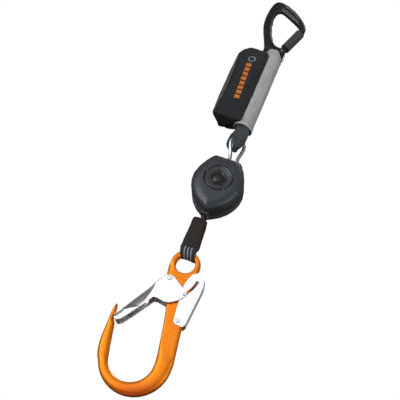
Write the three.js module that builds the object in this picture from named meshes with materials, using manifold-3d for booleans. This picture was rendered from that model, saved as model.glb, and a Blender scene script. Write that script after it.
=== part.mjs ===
// Compact self-retracting lifeline: anchor carabiner, tear-webbing absorber in its pouch,
// spring-wound webbing reel, webbing end and scaffold hook. Millimetres, +Z up, front towards -Y.
// Everything is laid out about a vertical load line (x = 0) and moved at the end, so that the
// origin is the point where the carabiner bears on its anchor.
import * as THREE from 'three';
import { mergeVertices } from 'three/addons/utils/BufferGeometryUtils.js';
import Module from 'manifold-3d';

// ---- Driving dimensions -------------------------------------------------------------------
const BEARING = { x: -32.5, z: -11.2 };      // carabiner's inner top, which becomes the origin
const GAP = 0.3;                             // clearance between pieces that touch

const CRAB_T = 12;                           // carabiner body thickness
const CRAB_BEVEL = 4;
const CRAB_HINGE = [1.2, -102];              // gate hinge centre
const CRAB_AXIS = [0.2927, 0.9562];          // gate direction in the X-Z plane
const CRAB_GATE_LEN = 60;
const BARREL = { start: 10, end: 56, rIn: 5.6, rOut: 8.75, ribs: 20 };
const EYE_PIN = { z: -115, r: 3, x0: -30.5, x1: 8.5 };

const ABSORBER_TILT = THREE.MathUtils.degToRad(1.6);
const SLEEVE = { x: -8.2, a: 15.7, b: 15, wall: 1.4, top: -124.5, bottom: -288 };
const WEB_T = 2.2;                           // doubled absorber webbing
const POUCH = { x0: -63, x1: -16, y0: -22, y1: 20, z0: -284, z1: -135, wall: 2 };

const BOW = { z: -311, wire: 2.75, twist: THREE.MathUtils.degToRad(20) };
const HUB_Z = -404;                          // drum axis height
const CASE_HALF = 23;                        // half of the housing's thickness
const CASE_WALL = 2.6;
const BAND_HALF = 7.7;                       // half width of the middle band
const DRUM = { hub: 9, flange: 32, web: 8.5, flangeT: 1.2 };
const LINE = { t: 1.15, pitch: 1.5, turns: 14, start: 9.9 };
const SHAFT_R = 4;
const PLATE_Y = [10.7, 12.7];
const YOKE_PIN_Z = -368.5;
const POST = [25.5, -430];
const CASE_SCREWS = [[-18, -371], [18, -371], [-13.5, -444], [13.5, -444]];

const SLEEVE_END = { top: -473, bottom: -530 };
const HOOK_EYE = { x: 7, z: -556, r: 14.7, rOut: 23.3 };
const HOOK_HALF = 7;                         // half of the hook body's thickness
const HOOK_BEVEL = 3.6;
const GATE_PIVOT = [-4.7, -587.2];
const LEVER_PIVOT = [32.8, -644.3];
const GATE_TAIL = [26.8, -603.1];
const GATE_OPEN = 38;                        // degrees
const LEVER_RATIO = 0.15;                    // lever degrees per gate degree
const LEVER_Y = [7.3, 8.7];
const GATE_Y = [9.0, 10.4];

// ---- Helpers ------------------------------------------------------------------------------
const wasm = await Module();
wasm.setup();
const group = new THREE.Group();
const deg = THREE.MathUtils.degToRad;

const MATERIALS = {
  blackAlloy: [0x2c2e31, 0.35, 0.8],
  steel: [0xc9ccd0, 0.3, 1],
  brightSteel: [0xe2e4e6, 0.2, 1],
  brass: [0xb5924c, 0.35, 1],
  orange: [0xf58a1c, 0.3, 0.7],
  casing: [0x3b4245, 0.5, 0],
  casingDark: [0x24282b, 0.6, 0],
  blackFabric: [0x202228, 0.9, 0],
  greyFabric: [0x9a9da0, 0.9, 0],
  slateWeb: [0x3d4a50, 0.85, 0],
  brownFabric: [0x2e2622, 0.95, 0],
  lineWeb: [0x2a2e3a, 0.8, 0],
  orangePrint: [0xe8761a, 0.7, 0],
  polymer: [0xd8d4c8, 0.5, 0],
};

function geometryOf(manifold) {
  const mesh = manifold.getMesh();
  const geometry = new THREE.BufferGeometry();
  const count = mesh.vertProperties.length / mesh.numProp;
  const position = new Float32Array(count * 3);
  for (let i = 0; i < count; i += 1) {
    for (let k = 0; k < 3; k += 1) {
      position[i * 3 + k] = mesh.vertProperties[i * mesh.numProp + k];
    }
  }
  geometry.setAttribute('position', new THREE.BufferAttribute(position, 3));
  geometry.setIndex(Array.from(mesh.triVerts));
  geometry.computeVertexNormals();
  return geometry;
}

function manifoldOf(geometry) {
  const bare = geometry.clone();
  bare.deleteAttribute('normal');
  bare.deleteAttribute('uv');
  const merged = mergeVertices(bare, 1e-4);
  const mesh = new wasm.Mesh({
    numProp: 3,
    vertProperties: new Float32Array(merged.attributes.position.array),
    triVerts: new Uint32Array(merged.index.array),
  });
  return new wasm.Manifold(mesh);
}

function union(...geometries) {
  return geometryOf(geometries.map(manifoldOf).reduce((a, b) => a.add(b)));
}

function cut(base, ...tools) {
  return geometryOf([base, ...tools].map(manifoldOf).reduce((a, b) => a.subtract(b)));
}

function add(name, geometry, look) {
  const [color, roughness, metalness] = MATERIALS[look];
  const material = new THREE.MeshStandardMaterial({ color, roughness, metalness });
  material.name = look;
  const mesh = new THREE.Mesh(geometry.translate(-BEARING.x, 0, -BEARING.z), material);
  mesh.name = name;
  group.add(mesh);
}

const shapeOf = (points) => new THREE.Shape(points.map(([x, z]) => new THREE.Vector2(x, z)));
const pathOf = (points) => new THREE.Path(points.map(([x, z]) => new THREE.Vector2(x, z)));

// A flat outline in the X-Z plane, given thickness from y0 to y1.
function plate(outline, y0, y1, holes = [], bevel = null) {
  const shape = shapeOf(outline);
  shape.holes = holes.map(pathOf);
  const thick = bevel ? bevel.thick : 0;
  const geometry = new THREE.ExtrudeGeometry(shape, {
    depth: y1 - y0 - 2 * thick,
    steps: 1,
    bevelEnabled: Boolean(bevel),
    bevelThickness: thick,
    bevelSize: bevel ? bevel.size : 0,
    bevelOffset: bevel ? -bevel.size : 0,
    bevelSegments: bevel ? bevel.steps : 0,
  });
  return geometry.rotateX(Math.PI / 2).translate(0, y1 - thick, 0);
}

function circle(cx, cz, r, steps = 24, phase = 0) {
  return Array.from({ length: steps }, (_, i) => {
    const a = phase + (2 * Math.PI * i) / steps;
    return [cx + r * Math.cos(a), cz + r * Math.sin(a)];
  });
}

function arc(cx, cz, r, from, to, steps) {
  return Array.from({ length: steps + 1 }, (_, i) => {
    const a = deg(from + ((to - from) * i) / steps);
    return [cx + r * Math.cos(a), cz + r * Math.sin(a)];
  });
}

const disc = (cx, cz, r, y0, y1, steps = 24) => plate(circle(cx, cz, r, steps), y0, y1);
const ring = (cx, cz, r, rIn, y0, y1, steps = 24) =>
  plate(circle(cx, cz, r, steps), y0, y1, [circle(cx, cz, rIn, steps)]);

function box(x0, x1, y0, y1, z0, z1) {
  const geometry = new THREE.BoxGeometry(x1 - x0, y1 - y0, z1 - z0);
  return geometry.translate((x0 + x1) / 2, (y0 + y1) / 2, (z0 + z1) / 2);
}

function rod(from, to, r, steps = 20) {
  const a = new THREE.Vector3(...from);
  const b = new THREE.Vector3(...to);
  const geometry = new THREE.CylinderGeometry(r, r, a.distanceTo(b), steps);
  const turn = new THREE.Quaternion().setFromUnitVectors(
    new THREE.Vector3(0, 1, 0), b.clone().sub(a).normalize());
  return geometry.applyQuaternion(turn).translate(...a.add(b).multiplyScalar(0.5).toArray());
}

// Round wire along a smooth curve through the given points.
function wire(points, r, steps, sides = 10, tension = 0.5) {
  const curve = new THREE.CatmullRomCurve3(
    points.map((p) => new THREE.Vector3(...p)), false, 'catmullrom', tension);
  const section = new THREE.Shape(circle(0, 0, r, sides).map(([x, y]) => new THREE.Vector2(x, y)));
  return new THREE.ExtrudeGeometry(section, { steps, extrudePath: curve, bevelEnabled: false });
}

// Outline of a constant-thickness strip along an open plan curve.
function stripOutline(centre, thickness) {
  const left = [];
  const right = [];
  centre.forEach(([x, z], i) => {
    const [ax, az] = centre[Math.max(i - 1, 0)];
    const [bx, bz] = centre[Math.min(i + 1, centre.length - 1)];
    const length = Math.hypot(bx - ax, bz - az);
    const nx = (-(bz - az) / length) * (thickness / 2);
    const nz = ((bx - ax) / length) * (thickness / 2);
    left.push([x + nx, z + nz]);
    right.push([x - nx, z - nz]);
  });
  return [...left, ...right.reverse()];
}

const strip = (centre, thickness, y0, y1) => plate(stripOutline(centre, thickness), y0, y1);

function smooth(points, steps) {
  const curve = new THREE.SplineCurve(points.map(([x, z]) => new THREE.Vector2(x, z)));
  return curve.getPoints(steps).map((p) => [p.x, p.y]);
}

// Moves every side of a convex, anticlockwise outline inwards by the given distance.
function inset(points, distance) {
  const n = points.length;
  return points.map(([x, z], i) => {
    const [ax, az] = points[(i + n - 1) % n];
    const [bx, bz] = points[(i + 1) % n];
    const u = new THREE.Vector2(x - ax, z - az).normalize();
    const v = new THREE.Vector2(bx - x, bz - z).normalize();
    const normal = new THREE.Vector2(-u.y - v.y, u.x + v.x).normalize();
    const scale = distance / Math.max(0.3, normal.dot(new THREE.Vector2(-u.y, u.x)));
    return [x + normal.x * scale, z + normal.y * scale];
  });
}

function turned(profile, steps = 40) {
  const points = profile.map(([r, y]) => new THREE.Vector2(r, y));
  return new THREE.LatheGeometry(points, steps);
}

// ---- Carabiner ----------------------------------------------------------------------------
const along = (s, across = 0) => [
  CRAB_HINGE[0] + CRAB_AXIS[0] * s + CRAB_AXIS[1] * across,
  CRAB_HINGE[1] + CRAB_AXIS[1] * s - CRAB_AXIS[0] * across,
];

function carabinerBody() {
  const outer = smooth([
    along(60.5, 6), [24.8, -37], [21.5, -28.5], [15, -20], [8, -13], [-6, -1], [-23, 8.5],
    [-38, 13], [-45, 12.3], [-50, 8], [-53.2, -2], [-55, -23], [-53.2, -48], [-47, -68],
    [-38, -89], [-33.4, -101],
  ], 34);
  const foot = [[-31.5, -108.5], [5, -108.5]];
  const knuckle = arc(CRAB_HINGE[0], CRAB_HINGE[1], 7, -25, 118, 9);
  const inner = smooth([
    [-8, -95.6], [-14, -93.5], [-19, -88.5], [-22, -83], [-29, -70], [-35, -51], [-38, -34],
    [-38.2, -24], [-36.5, -14.5], [-32.5, -11.2], [-27, -12], [-16, -18.5], [-2, -26.5],
    [8, -33.5], [12.2, -38], along(60.5, -6),
  ], 30);
  const outline = [along(50, 6), ...outer, ...foot, ...knuckle, ...inner, along(50, -6)];
  const bevel = { thick: CRAB_BEVEL, size: 3, steps: 2 };
  const frame = plate(outline, -CRAB_T / 2, CRAB_T / 2, [], bevel);
  const ear = (x0, x1) => plate([[x0, -119], [x0 + 1.5, -120.5], [x1 - 1.5, -120.5],
    [x1, -119], [x1, -104], [x0, -104]], -5.6, 5.6);
  const body = union(frame, ear(-31, -22), ear(2.5, 9));
  const slot = box(-8.5, 12, -3, 3, -108.3, -90);
  const hinge = rod([CRAB_HINGE[0], -9, CRAB_HINGE[1]], [CRAB_HINGE[0], 9, CRAB_HINGE[1]], 2.1);
  const pin = rod([-33, 0, EYE_PIN.z], [12, 0, EYE_PIN.z], EYE_PIN.r + GAP);
  const [noseX, noseZ] = along(CRAB_GATE_LEN + 0.6);
  const [farX, farZ] = along(30);
  const gateRoom = rod([farX, 0, farZ], [noseX, 0, noseZ], 11, 24);
  return cut(body, slot, hinge, pin, gateRoom);
}

function carabinerGate() {
  const bar = rod([along(8)[0], 0, along(8)[1]],
    [along(CRAB_GATE_LEN)[0], 0, along(CRAB_GATE_LEN)[1]], 5.3, 24);
  const tongue = plate([...arc(CRAB_HINGE[0], CRAB_HINGE[1], 5, 163, 343, 12),
    along(10, 4.2), along(10, -4.2)], -2.7, 2.7);
  const hole = rod([CRAB_HINGE[0], -9, CRAB_HINGE[1]], [CRAB_HINGE[0], 9, CRAB_HINGE[1]], 2.1);
  return cut(union(bar, tongue), hole);
}

function lockBarrel() {
  const sides = BARREL.ribs * 2;
  const section = circle(0, 0, 1, sides).map(([x, z], i) => {
    const r = i % 2 ? BARREL.rOut - 0.5 : BARREL.rOut;
    return [x * r, z * r];
  });
  const length = BARREL.end - BARREL.start;
  const tilt = Math.atan2(CRAB_AXIS[0], CRAB_AXIS[1]);
  const mid = along((BARREL.start + BARREL.end) / 2);
  // Built about Y, stood up along Z, then leaned onto the gate.
  const tube = plate(section, -length / 2 + 6, length / 2 - 3);
  const lower = disc(0, 0, BARREL.rOut, -length / 2, -length / 2 + 6.2, 40);
  const upper = disc(0, 0, BARREL.rOut, length / 2 - 3.2, length / 2, 40);
  const bore = disc(0, 0, BARREL.rIn, -length, length, 32);
  const shell = cut(union(tube, lower, upper), bore);
  return shell.rotateX(Math.PI / 2).rotateY(tilt).translate(mid[0], 0, mid[1]);
}

add('carabiner_body', carabinerBody(), 'blackAlloy');
add('carabiner_gate', carabinerGate(), 'blackAlloy');
add('carabiner_hinge_pin', rod([CRAB_HINGE[0], -5.6, CRAB_HINGE[1]],
  [CRAB_HINGE[0], 5.6, CRAB_HINGE[1]], 2.05), 'steel');
add('lock_barrel', lockBarrel(), 'blackAlloy');
add('captive_pin', rod([EYE_PIN.x0, 0, EYE_PIN.z], [EYE_PIN.x1, 0, EYE_PIN.z], EYE_PIN.r),
  'brightSteel');

// ---- Shock absorber -----------------------------------------------------------------------
// Leans the absorber pieces a little about the captive pin.
function lean(geometry) {
  return geometry.translate(9.7, 0, -EYE_PIN.z).rotateY(-ABSORBER_TILT)
    .translate(-9.7, 0, EYE_PIN.z);
}

// Outline in the Y-Z plane swept across X.
function profileX(outline, x0, x1) {
  const geometry = new THREE.ExtrudeGeometry(shapeOf(outline), { depth: x1 - x0, bevelEnabled: false });
  return geometry.rotateX(Math.PI / 2).rotateZ(Math.PI / 2).translate(x0, 0, 0);
}

function upperWebbing() {
  const rIn = EYE_PIN.r + GAP;
  const rOut = rIn + WEB_T;
  const outline = [[-rOut, -196], ...arc(0, EYE_PIN.z, rOut, 180, 0, 14), [rOut, -196],
    [rIn, -196], ...arc(0, EYE_PIN.z, rIn, 0, 180, 14), [-rIn, -196]];
  return profileX(outline, -21.2, 1.7);
}

function lowerWebbing() {
  const front = [[-18, -206], [-18, -292], [-18.6, -304], [-16, -312], [-13, -319],
    [-10, -326], [-6.5, -331.5], [-2.5, -334.5], [0.5, -331.5], [3, -326], [5, -319],
    [7, -312], [8, -303], [6.4, -295], [3.5, -289], [3.5, -206]];
  const half = [[5.4, -206], [5.4, -286], [10.8, -301], [10.8, -316], [6.5, -330], [0, -332.4]];
  const loop = [...half, ...half.slice(0, -1).map(([y, z]) => [-y, z]).reverse()];
  const belt = profileX(stripOutline(loop, WEB_T + 0.2), -30, 30);
  const tie = box(-17.5, 3, -5, 5, -209, -206.2);
  const trimmed = manifoldOf(belt).intersect(manifoldOf(plate(front, -20, 20)));
  return union(geometryOf(trimmed), tie);
}

// Tear webbing laid up in folds.
function tearPack() {
  const points = [];
  const folds = 17;
  const top = -141;
  const step = 8;
  for (let i = 0; i < folds; i += 1) {
    const z = top - i * step;
    const ends = i % 2 ? [-28, -57] : [-57, -28];
    points.push([ends[0], z], [ends[1], z]);
    if (i < folds - 1) {
      points.push([ends[1] + (i % 2 ? -2 : 2), z - step / 2]);
    }
  }
  return strip(points, 3, -16, 14);
}

function pouchShell() {
  const { x0, x1, y0, y1, z0, z1, wall } = POUCH;
  const shape = [[x0, z0 + 4], [x0 + 4, z0], [x1, z0], [x1, z1 - 3], [x1 - 6, z1],
    [x0 + 10, z1], [x0 + 3, z1 - 4], [x0, z1 - 11]];
  const solid = plate(shape, y0, y1, [], { thick: 3, size: 2, steps: 2 });
  const room = box(x0 + wall, x1 + 5, y0 + wall, y1 - wall, z0 + wall + 1, z1 - wall - 2);
  const corner = box(x0 + wall - 2, x0 + wall + 2, y0 - 1, y1 + 1, z1 - wall - 9, z1);
  const sleeve = new THREE.ExtrudeGeometry(shapeOf(sleeveOval(1)),
    { depth: 200, bevelEnabled: false }).translate(0, 0, -310);
  return cut(solid, cut(room, corner), sleeve);
}

const sleeveOval = (grow) => circle(0, 0, 1, 36).map(([u, v]) =>
  [SLEEVE.x + u * (SLEEVE.a + grow), v * (SLEEVE.b + grow)]);

function sleeveTube() {
  const { wall, top, bottom } = SLEEVE;
  const shape = shapeOf(sleeveOval(0));
  shape.holes = [pathOf(sleeveOval(-wall))];
  const geometry = new THREE.ExtrudeGeometry(shape, { depth: top - bottom, bevelEnabled: false });
  return geometry.translate(0, 0, bottom);
}

add('absorber_webbing_upper', lean(upperWebbing()), 'slateWeb');
add('absorber_webbing_lower', lean(lowerWebbing()), 'slateWeb');
add('tear_webbing_pack', lean(tearPack()), 'slateWeb');
add('absorber_pouch', lean(pouchShell()), 'blackFabric');
add('absorber_sleeve', lean(sleeveTube()), 'greyFabric');
add('pouch_side_panel', lean(box(-65.6, -63.4, -15, 12, -280, -148)), 'greyFabric');
add('pouch_round_patch', lean(ring(-34, -165, 7, 4.6, -22.9, -22.3, 28)), 'greyFabric');
add('pouch_stripe_patch', lean(box(-38, -29, -22.9, -22.3, -258, -178)), 'orangePrint');

// ---- Reel housing -------------------------------------------------------------------------
function caseOutline() {
  const half = [[0, -463.5], [9, -458.5], [20, -451.5], [30.5, -441], [37.4, -429.5],
    [41.3, -418], [42.3, -405], [39, -390], [32, -375], [24.5, -363.5], [20, -361]];
  const left = half.slice(1).map(([x, z]) => [-x, z]).reverse();
  return [...half, ...left];
}

const CASE = caseOutline();

function coverShell() {
  const outer = plate(CASE, -CASE_HALF, -BAND_HALF - GAP, [],
    { thick: 6.5, size: 9, steps: 2 });
  // The bevel is wanted on the outer face only, so the joint face is squared off again.
  const skirt = plate(CASE, -15, -BAND_HALF - GAP);
  const room = plate(inset(CASE, CASE_WALL), -16, -BAND_HALF + 2);
  const dome = plate(inset(CASE, CASE_WALL + 4.5), -CASE_HALF + CASE_WALL, -15.9);
  const lip = plate(inset(CASE, CASE_WALL + 0.6), -17.5, -15.5);
  const bosses = CASE_SCREWS.map(([x, z]) => disc(x, z, 3.5, -18.5, -BAND_HALF - GAP, 14));
  const hollowed = cut(union(outer, skirt), room, dome, lip);
  return union(hollowed, ...bosses);
}

function frontCover() {
  const holes = CASE_SCREWS.map(([x, z]) => disc(x, z, 1.6, -18, 0, 12));
  const mouth = box(-6.9, 6.9, -10.9, 0, -470, -449);
  const recess = disc(0, HUB_Z, 15.4, -30, -CASE_HALF + 1.3, 32);
  const grooves = [10, 100, 190, 280].map((from) => plate([
    ...arc(0, HUB_Z, 24.2, from, from + 72, 8),
    ...arc(0, HUB_Z, 22.6, from + 72, from, 8),
  ], -30, -CASE_HALF + 0.9));
  const notch = box(-3.2, 3.2, -24, -14, -470, -453.5);
  return cut(coverShell(), ...holes, mouth, recess, notch, ...grooves);
}

function rearCover() {
  const shell = coverShell().rotateZ(Math.PI);
  const holes = CASE_SCREWS.map(([x, z]) => disc(x, z, 1.8, 0, 30, 12));
  const heads = CASE_SCREWS.map(([x, z]) => disc(x, z, 3.1, 19.5, 30, 14));
  const mouth = box(-6.9, 6.9, 0, 10.9, -470, -449);
  return cut(shell, ...holes, ...heads, mouth);
}

function bumperBand() {
  const band = plate(inset(CASE, 1.6), -BAND_HALF, BAND_HALF, [inset(CASE, CASE_WALL + 1.2)]);
  const rib = (y) => plate(inset(CASE, 0.2), y - 1.3, y + 1.3, [inset(CASE, CASE_WALL)]);
  const slot = box(-10.6, 10.6, -5.8, 5.8, -368, -350);
  const mouth = box(-6.9, 6.9, -20, 20, -470, -449);
  const screws = CASE_SCREWS.map(([x, z]) => disc(x, z, 3.8, -10, 10, 20));
  return cut(union(band, rib(-3.2), rib(3.2)), slot, mouth, ...screws);
}

function framePlate(side) {
  const half = [[13.5, -364], [13.5, -380], [20, -396], [25, -410], [29.5, -424], [29.5, -433],
    [20, -438.5]];
  const outline = [...half.map(([x, z]) => [-x, z]), ...half.reverse()];
  const [y0, y1] = side < 0 ? [-PLATE_Y[1], -PLATE_Y[0]] : PLATE_Y;
  const holes = [circle(0, HUB_Z, 6.8), circle(0, YOKE_PIN_Z, 2.2, 16),
    circle(-POST[0], POST[1], 2.1, 16), circle(POST[0], POST[1], 2.1, 16)];
  return plate(outline, y0, y1, holes);
}

function spacerPost(x) {
  const body = rod([x, -10.4, POST[1]], [x, 10.4, POST[1]], 2.6, 16);
  const spigot = rod([x, -12.9, POST[1]], [x, 12.9, POST[1]], 1.8, 16);
  return union(body, spigot);
}

function shackleBow() {
  const flat = [[-6.3, -369], [-6.3, -350], [-7.2, -342], [-11.5, -331], [-15.4, -321],
    [-14.5, -314.5], [-8, -311.4], [0, -310.8], [8, -311.4], [14.5, -314.5], [15.4, -321],
    [11.5, -331], [7.2, -342], [6.3, -350], [6.3, -369]];
  const points = flat.map(([s, z]) => [s * Math.cos(BOW.twist), s * Math.sin(BOW.twist), z]);
  return wire(points, BOW.wire, 34, 10);
}

function shackleYoke() {
  const block = box(-12.5, 12.5, -9.8, 9.8, -371.6, -365.2);
  const legX = 6.3 * Math.cos(BOW.twist);
  const legY = 6.3 * Math.sin(BOW.twist);
  const sockets = [-1, 1].map((s) =>
    rod([s * legX, s * legY, -369.4], [s * legX, s * legY, -355], BOW.wire + GAP, 20));
  const pin = rod([0, -20, YOKE_PIN_Z], [0, 20, YOKE_PIN_Z], 2.2, 20);
  return cut(block, ...sockets, pin);
}

add('shackle_bow', shackleBow(), 'brightSteel');
add('shackle_yoke', shackleYoke(), 'steel');
add('yoke_pin', rod([0, -13.2, YOKE_PIN_Z], [0, 13.2, YOKE_PIN_Z], 1.9, 16), 'steel');
add('housing_front_cover', frontCover(), 'casing');
add('housing_rear_cover', rearCover(), 'casing');
add('housing_band', bumperBand(), 'casingDark');
add('hub_cap', cut(disc(0, HUB_Z, 15, -23.5, -22, 40), disc(0, HUB_Z, 9, -24, -22.9, 32)),
  'casingDark');
add('frame_plate_front', framePlate(-1), 'steel');
add('frame_plate_rear', framePlate(1), 'steel');
add('spacer_post_left', spacerPost(-POST[0]), 'steel');
add('spacer_post_right', spacerPost(POST[0]), 'steel');
CASE_SCREWS.forEach(([x, z], i) => {
  const head = disc(x, z, 2.8, 19.8, 21.6, 14);
  const drive = disc(x, z, 1.2, 20.6, 22, 6);
  const shank = disc(x, z, 1.4, -17, 20, 10);
  add(`cover_screw_${i + 1}`, cut(union(head, shank), drive), 'steel');
});

// ---- Reel -----------------------------------------------------------------------------------
function drumBody() {
  const edge = DRUM.web + GAP;
  const profile = [[SHAFT_R + 0.2, -edge - DRUM.flangeT], [DRUM.flange, -edge - DRUM.flangeT],
    [DRUM.flange, -edge], [DRUM.hub, -edge], [DRUM.hub, edge], [DRUM.flange, edge],
    [DRUM.flange, edge + DRUM.flangeT], [SHAFT_R + 0.2, edge + DRUM.flangeT],
    [SHAFT_R + 0.2, -edge - DRUM.flangeT]];
  return turned(profile, 40).translate(0, 0, HUB_Z);
}

// Spiral that opens outwards; sense is 1 anticlockwise or -1 clockwise, seen from the front.
function spiral(start, pitch, turns, perTurn, phase, sense) {
  const count = turns * perTurn;
  return Array.from({ length: count + 1 }, (_, i) => {
    const a = phase + (sense * 2 * Math.PI * i) / perTurn;
    const r = start + (pitch * i) / perTurn;
    return [r * Math.cos(a), HUB_Z + r * Math.sin(a)];
  });
}

// The line leaves its last turn along a tangent towards the outlet.
const COIL_R = LINE.start + LINE.pitch * LINE.turns;
const OUTLET_Z = -454;
const LEAD_R = COIL_R + 1.6;
const LEAVE = Math.acos(LEAD_R / (HUB_Z - OUTLET_Z)) - Math.PI / 2;

function lineLead() {
  const start = [LEAD_R * Math.cos(LEAVE), HUB_Z + LEAD_R * Math.sin(LEAVE)];
  const bend = [[0.35, OUTLET_Z + 1.2], [0, OUTLET_Z - 1], [0, OUTLET_Z - 6], [0, -465]];
  return strip([start, ...bend], LINE.t, -DRUM.web, DRUM.web);
}

function nozzle() {
  const outline = [[-6.5, -452], [-6.5, -462], [-5, -467.5], [5, -467.5], [6.5, -462],
    [6.5, -452]];
  const block = plate(outline, -10.5, 10.5);
  const throat = profileX([[-9, -480], [-9, -440], [9, -440], [9, -480]], -1.3, 1.3);
  const funnel = plate([[-1.3, -459], [1.3, -459], [6, -451], [-1.3, -451]], -9, 9);
  return cut(block, throat, funnel);
}

function ratchetRing() {
  const teeth = 16;
  const inner = [];
  for (let i = 0; i < teeth; i += 1) {
    const a = (2 * Math.PI * i) / teeth;
    const pitch = (2 * Math.PI) / teeth;
    [[0, 17.8], [0.12, 17.8], [0.16, 20.4], [0.62, 20.4]].forEach(([f, r]) => {
      inner.push([r * Math.cos(a + f * pitch), HUB_Z + r * Math.sin(a + f * pitch)]);
    });
  }
  return plate(circle(0, HUB_Z, 24.5, 40), -18.4, -13, [inner]);
}

function pawl(turn) {
  const outline = [[-2.6, 6], [3.5, 5.6], [9, 6.8], [13.2, 8.6], [13.8, 9.6], [12.6, 10],
    [6, 10.8], [0, 11.3], [-2.6, 10.6], [-3.4, 8.4]];
  const shape = outline.map(([x, z]) => [x, z]);
  const body = plate(shape, -17.3, -15.4, [circle(0, 8.5, 1.75, 16)]);
  return body.rotateY(turn).translate(0, 0, HUB_Z);
}

function pawlPin(turn) {
  return rod([0, -17.8, 8.5], [0, -13.2, 8.5], 1.5, 16).rotateY(turn).translate(0, 0, HUB_Z);
}

function pawlCarrier() {
  const holes = [circle(0, HUB_Z + 8.5, 1.7, 16), circle(0, HUB_Z - 8.5, 1.7, 16)];
  const plateBody = plate(circle(0, HUB_Z, 13, 36), -15.1, -13.1,
    [circle(0, HUB_Z, SHAFT_R + 0.2, 24), ...holes]);
  return plateBody;
}

function springCup() {
  return turned([[7.2, 13], [29.5, 13], [29.5, 19], [28.4, 19], [28.4, 14.2], [7.2, 14.2],
    [7.2, 13]], 40).translate(0, 0, HUB_Z);
}

add('drum_shaft', rod([0, -18.8, HUB_Z], [0, 19, HUB_Z], SHAFT_R, 32), 'steel');
add('drum', drumBody(), 'polymer');
add('lifeline_coil', strip(spiral(LINE.start, LINE.pitch, LINE.turns, 16, LEAVE, -1), LINE.t,
  -DRUM.web, DRUM.web), 'lineWeb');
add('lifeline_lead', lineLead(), 'lineWeb');
add('line_nozzle', nozzle(), 'casingDark');
add('bush_front', ring(0, HUB_Z, 6.6, SHAFT_R + 0.08, -12.8, -10.5, 32), 'brass');
add('bush_rear', ring(0, HUB_Z, 6.6, SHAFT_R + 0.08, 10.5, 12.8, 32), 'brass');
add('ratchet_ring', ratchetRing(), 'steel');
add('pawl_carrier', pawlCarrier(), 'steel');
add('pawl_a', pawl(0), 'steel');
add('pawl_b', pawl(Math.PI), 'steel');
add('pawl_pin_a', pawlPin(0), 'steel');
add('pawl_pin_b', pawlPin(Math.PI), 'steel');
add('shaft_clip', ring(0, HUB_Z, 6.4, SHAFT_R + 0.2, -18.7, -17.9, 28), 'steel');
add('spring_cup', springCup(), 'casingDark');
add('power_spring', strip(spiral(7.6, 3.2, 6, 18, 0, 1), 0.8, 14.6, 18.8), 'steel');
add('spring_arbor', ring(0, HUB_Z, 6.8, SHAFT_R + 0.2, 13.2, 18.9, 28), 'brass');
add('spring_cover', disc(0, HUB_Z, 29.5, 19.3, 20.1, 36), 'casingDark');

// ---- Webbing end ------------------------------------------------------------------------------
function endSleeve() {
  const outline = [[-9, SLEEVE_END.top], [-12.6, SLEEVE_END.top - 3], [-12.4, -500],
    [-12.4, SLEEVE_END.bottom], [15.4, SLEEVE_END.bottom], [14, -500],
    [11.6, SLEEVE_END.top - 3], [7, SLEEVE_END.top]];
  return plate(outline.reverse(), -6.5, 6.5, [], { thick: 3, size: 2.4, steps: 3 });
}

function endLoop() {
  const cx = HOOK_EYE.x;
  const cz = HOOK_EYE.z;
  const rOut = HOOK_EYE.r - 1.9;
  const rIn = rOut - 2.6;
  const under = arc(cx, cz, rIn, 138, 42, 12);
  const over = arc(cx, cz, rOut, 42, 138, 12);
  const sling = plate([...under, ...over], -14, 14);
  const cheek = [...under, [cx + 10.4, cz + 14], [cx + 7.2, -530.6], [cx - 12, -530.6],
    [cx - 10.4, cz + 14]];
  const front = plate(cheek, -14, -11.8);
  const rear = plate(cheek, 11.8, 14);
  const crown = box(cx - 11, cx + 7, -14, 14, -531.2, -530.4);
  return union(sling, front, rear, crown);
}

add('lifeline_strip', box(-LINE.t / 2, LINE.t / 2, -DRUM.web, DRUM.web,
  SLEEVE_END.top + GAP, -465.4), 'lineWeb');
add('end_sleeve', endSleeve(), 'brownFabric');
add('end_loop', endLoop(), 'lineWeb');

// ---- Scaffold hook ------------------------------------------------------------------------------
function hookBody() {
  const eyeArc = arc(HOOK_EYE.x, HOOK_EYE.z, HOOK_EYE.rOut, 185, -8, 18);
  const right = smooth([[31, -568], [32.6, -585], [36, -612], [41.5, -648], [47.6, -680],
    [52.4, -704]], 8);
  const bottom = arc(-0.6, -716.8, 53.8, 5, -155, 22);
  const arm = smooth([[-54, -733], [-58.5, -721], [-61.4, -706], [-62.4, -690],
    [-63.4, -676], [-64, -664], [-63.2, -655]], 9);
  const nose = [[-63, -640], [-52.6, -640], [-51.8, -672]];
  const innerArm = smooth([[-50.6, -680], [-48, -692], [-44.8, -704], [-41.6, -713]], 6);
  const throat = arc(-6.6, -718.2, 34.2, 176, 352, 20);
  const shank = smooth([[27.2, -712], [25, -698], [19.6, -675], [13.6, -650], [8, -631],
    [1.5, -615.5], [-4, -603.5], [-9, -592], [-13, -580], [-15.6, -568]], 14);
  const outline = [...eyeArc, ...right, ...bottom, ...arm, ...nose, ...innerArm, ...throat,
    ...shank];
  const bevel = { thick: HOOK_BEVEL, size: HOOK_BEVEL - 0.4, steps: 2 };
  const body = plate(outline.reverse(), -HOOK_HALF, HOOK_HALF,
    [circle(HOOK_EYE.x, HOOK_EYE.z, HOOK_EYE.r, 40)], bevel);
  const pivotHole = disc(...GATE_PIVOT, 3.1, -20, 20, 24);
  const leverHole = disc(...LEVER_PIVOT, 2.4, -20, 20, 24);
  const noseCut = plate([[-72, -630], [-64.4, -651], [-62, -651], [-60.4, -654], [-58.8, -661],
    [-57.4, -667], [-57.2, -674.5], [-51.5, -679], [-40, -681], [-40, -630]], -20, 20);
  return cut(body, pivotHole, leverHole, noseCut);
}

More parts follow.
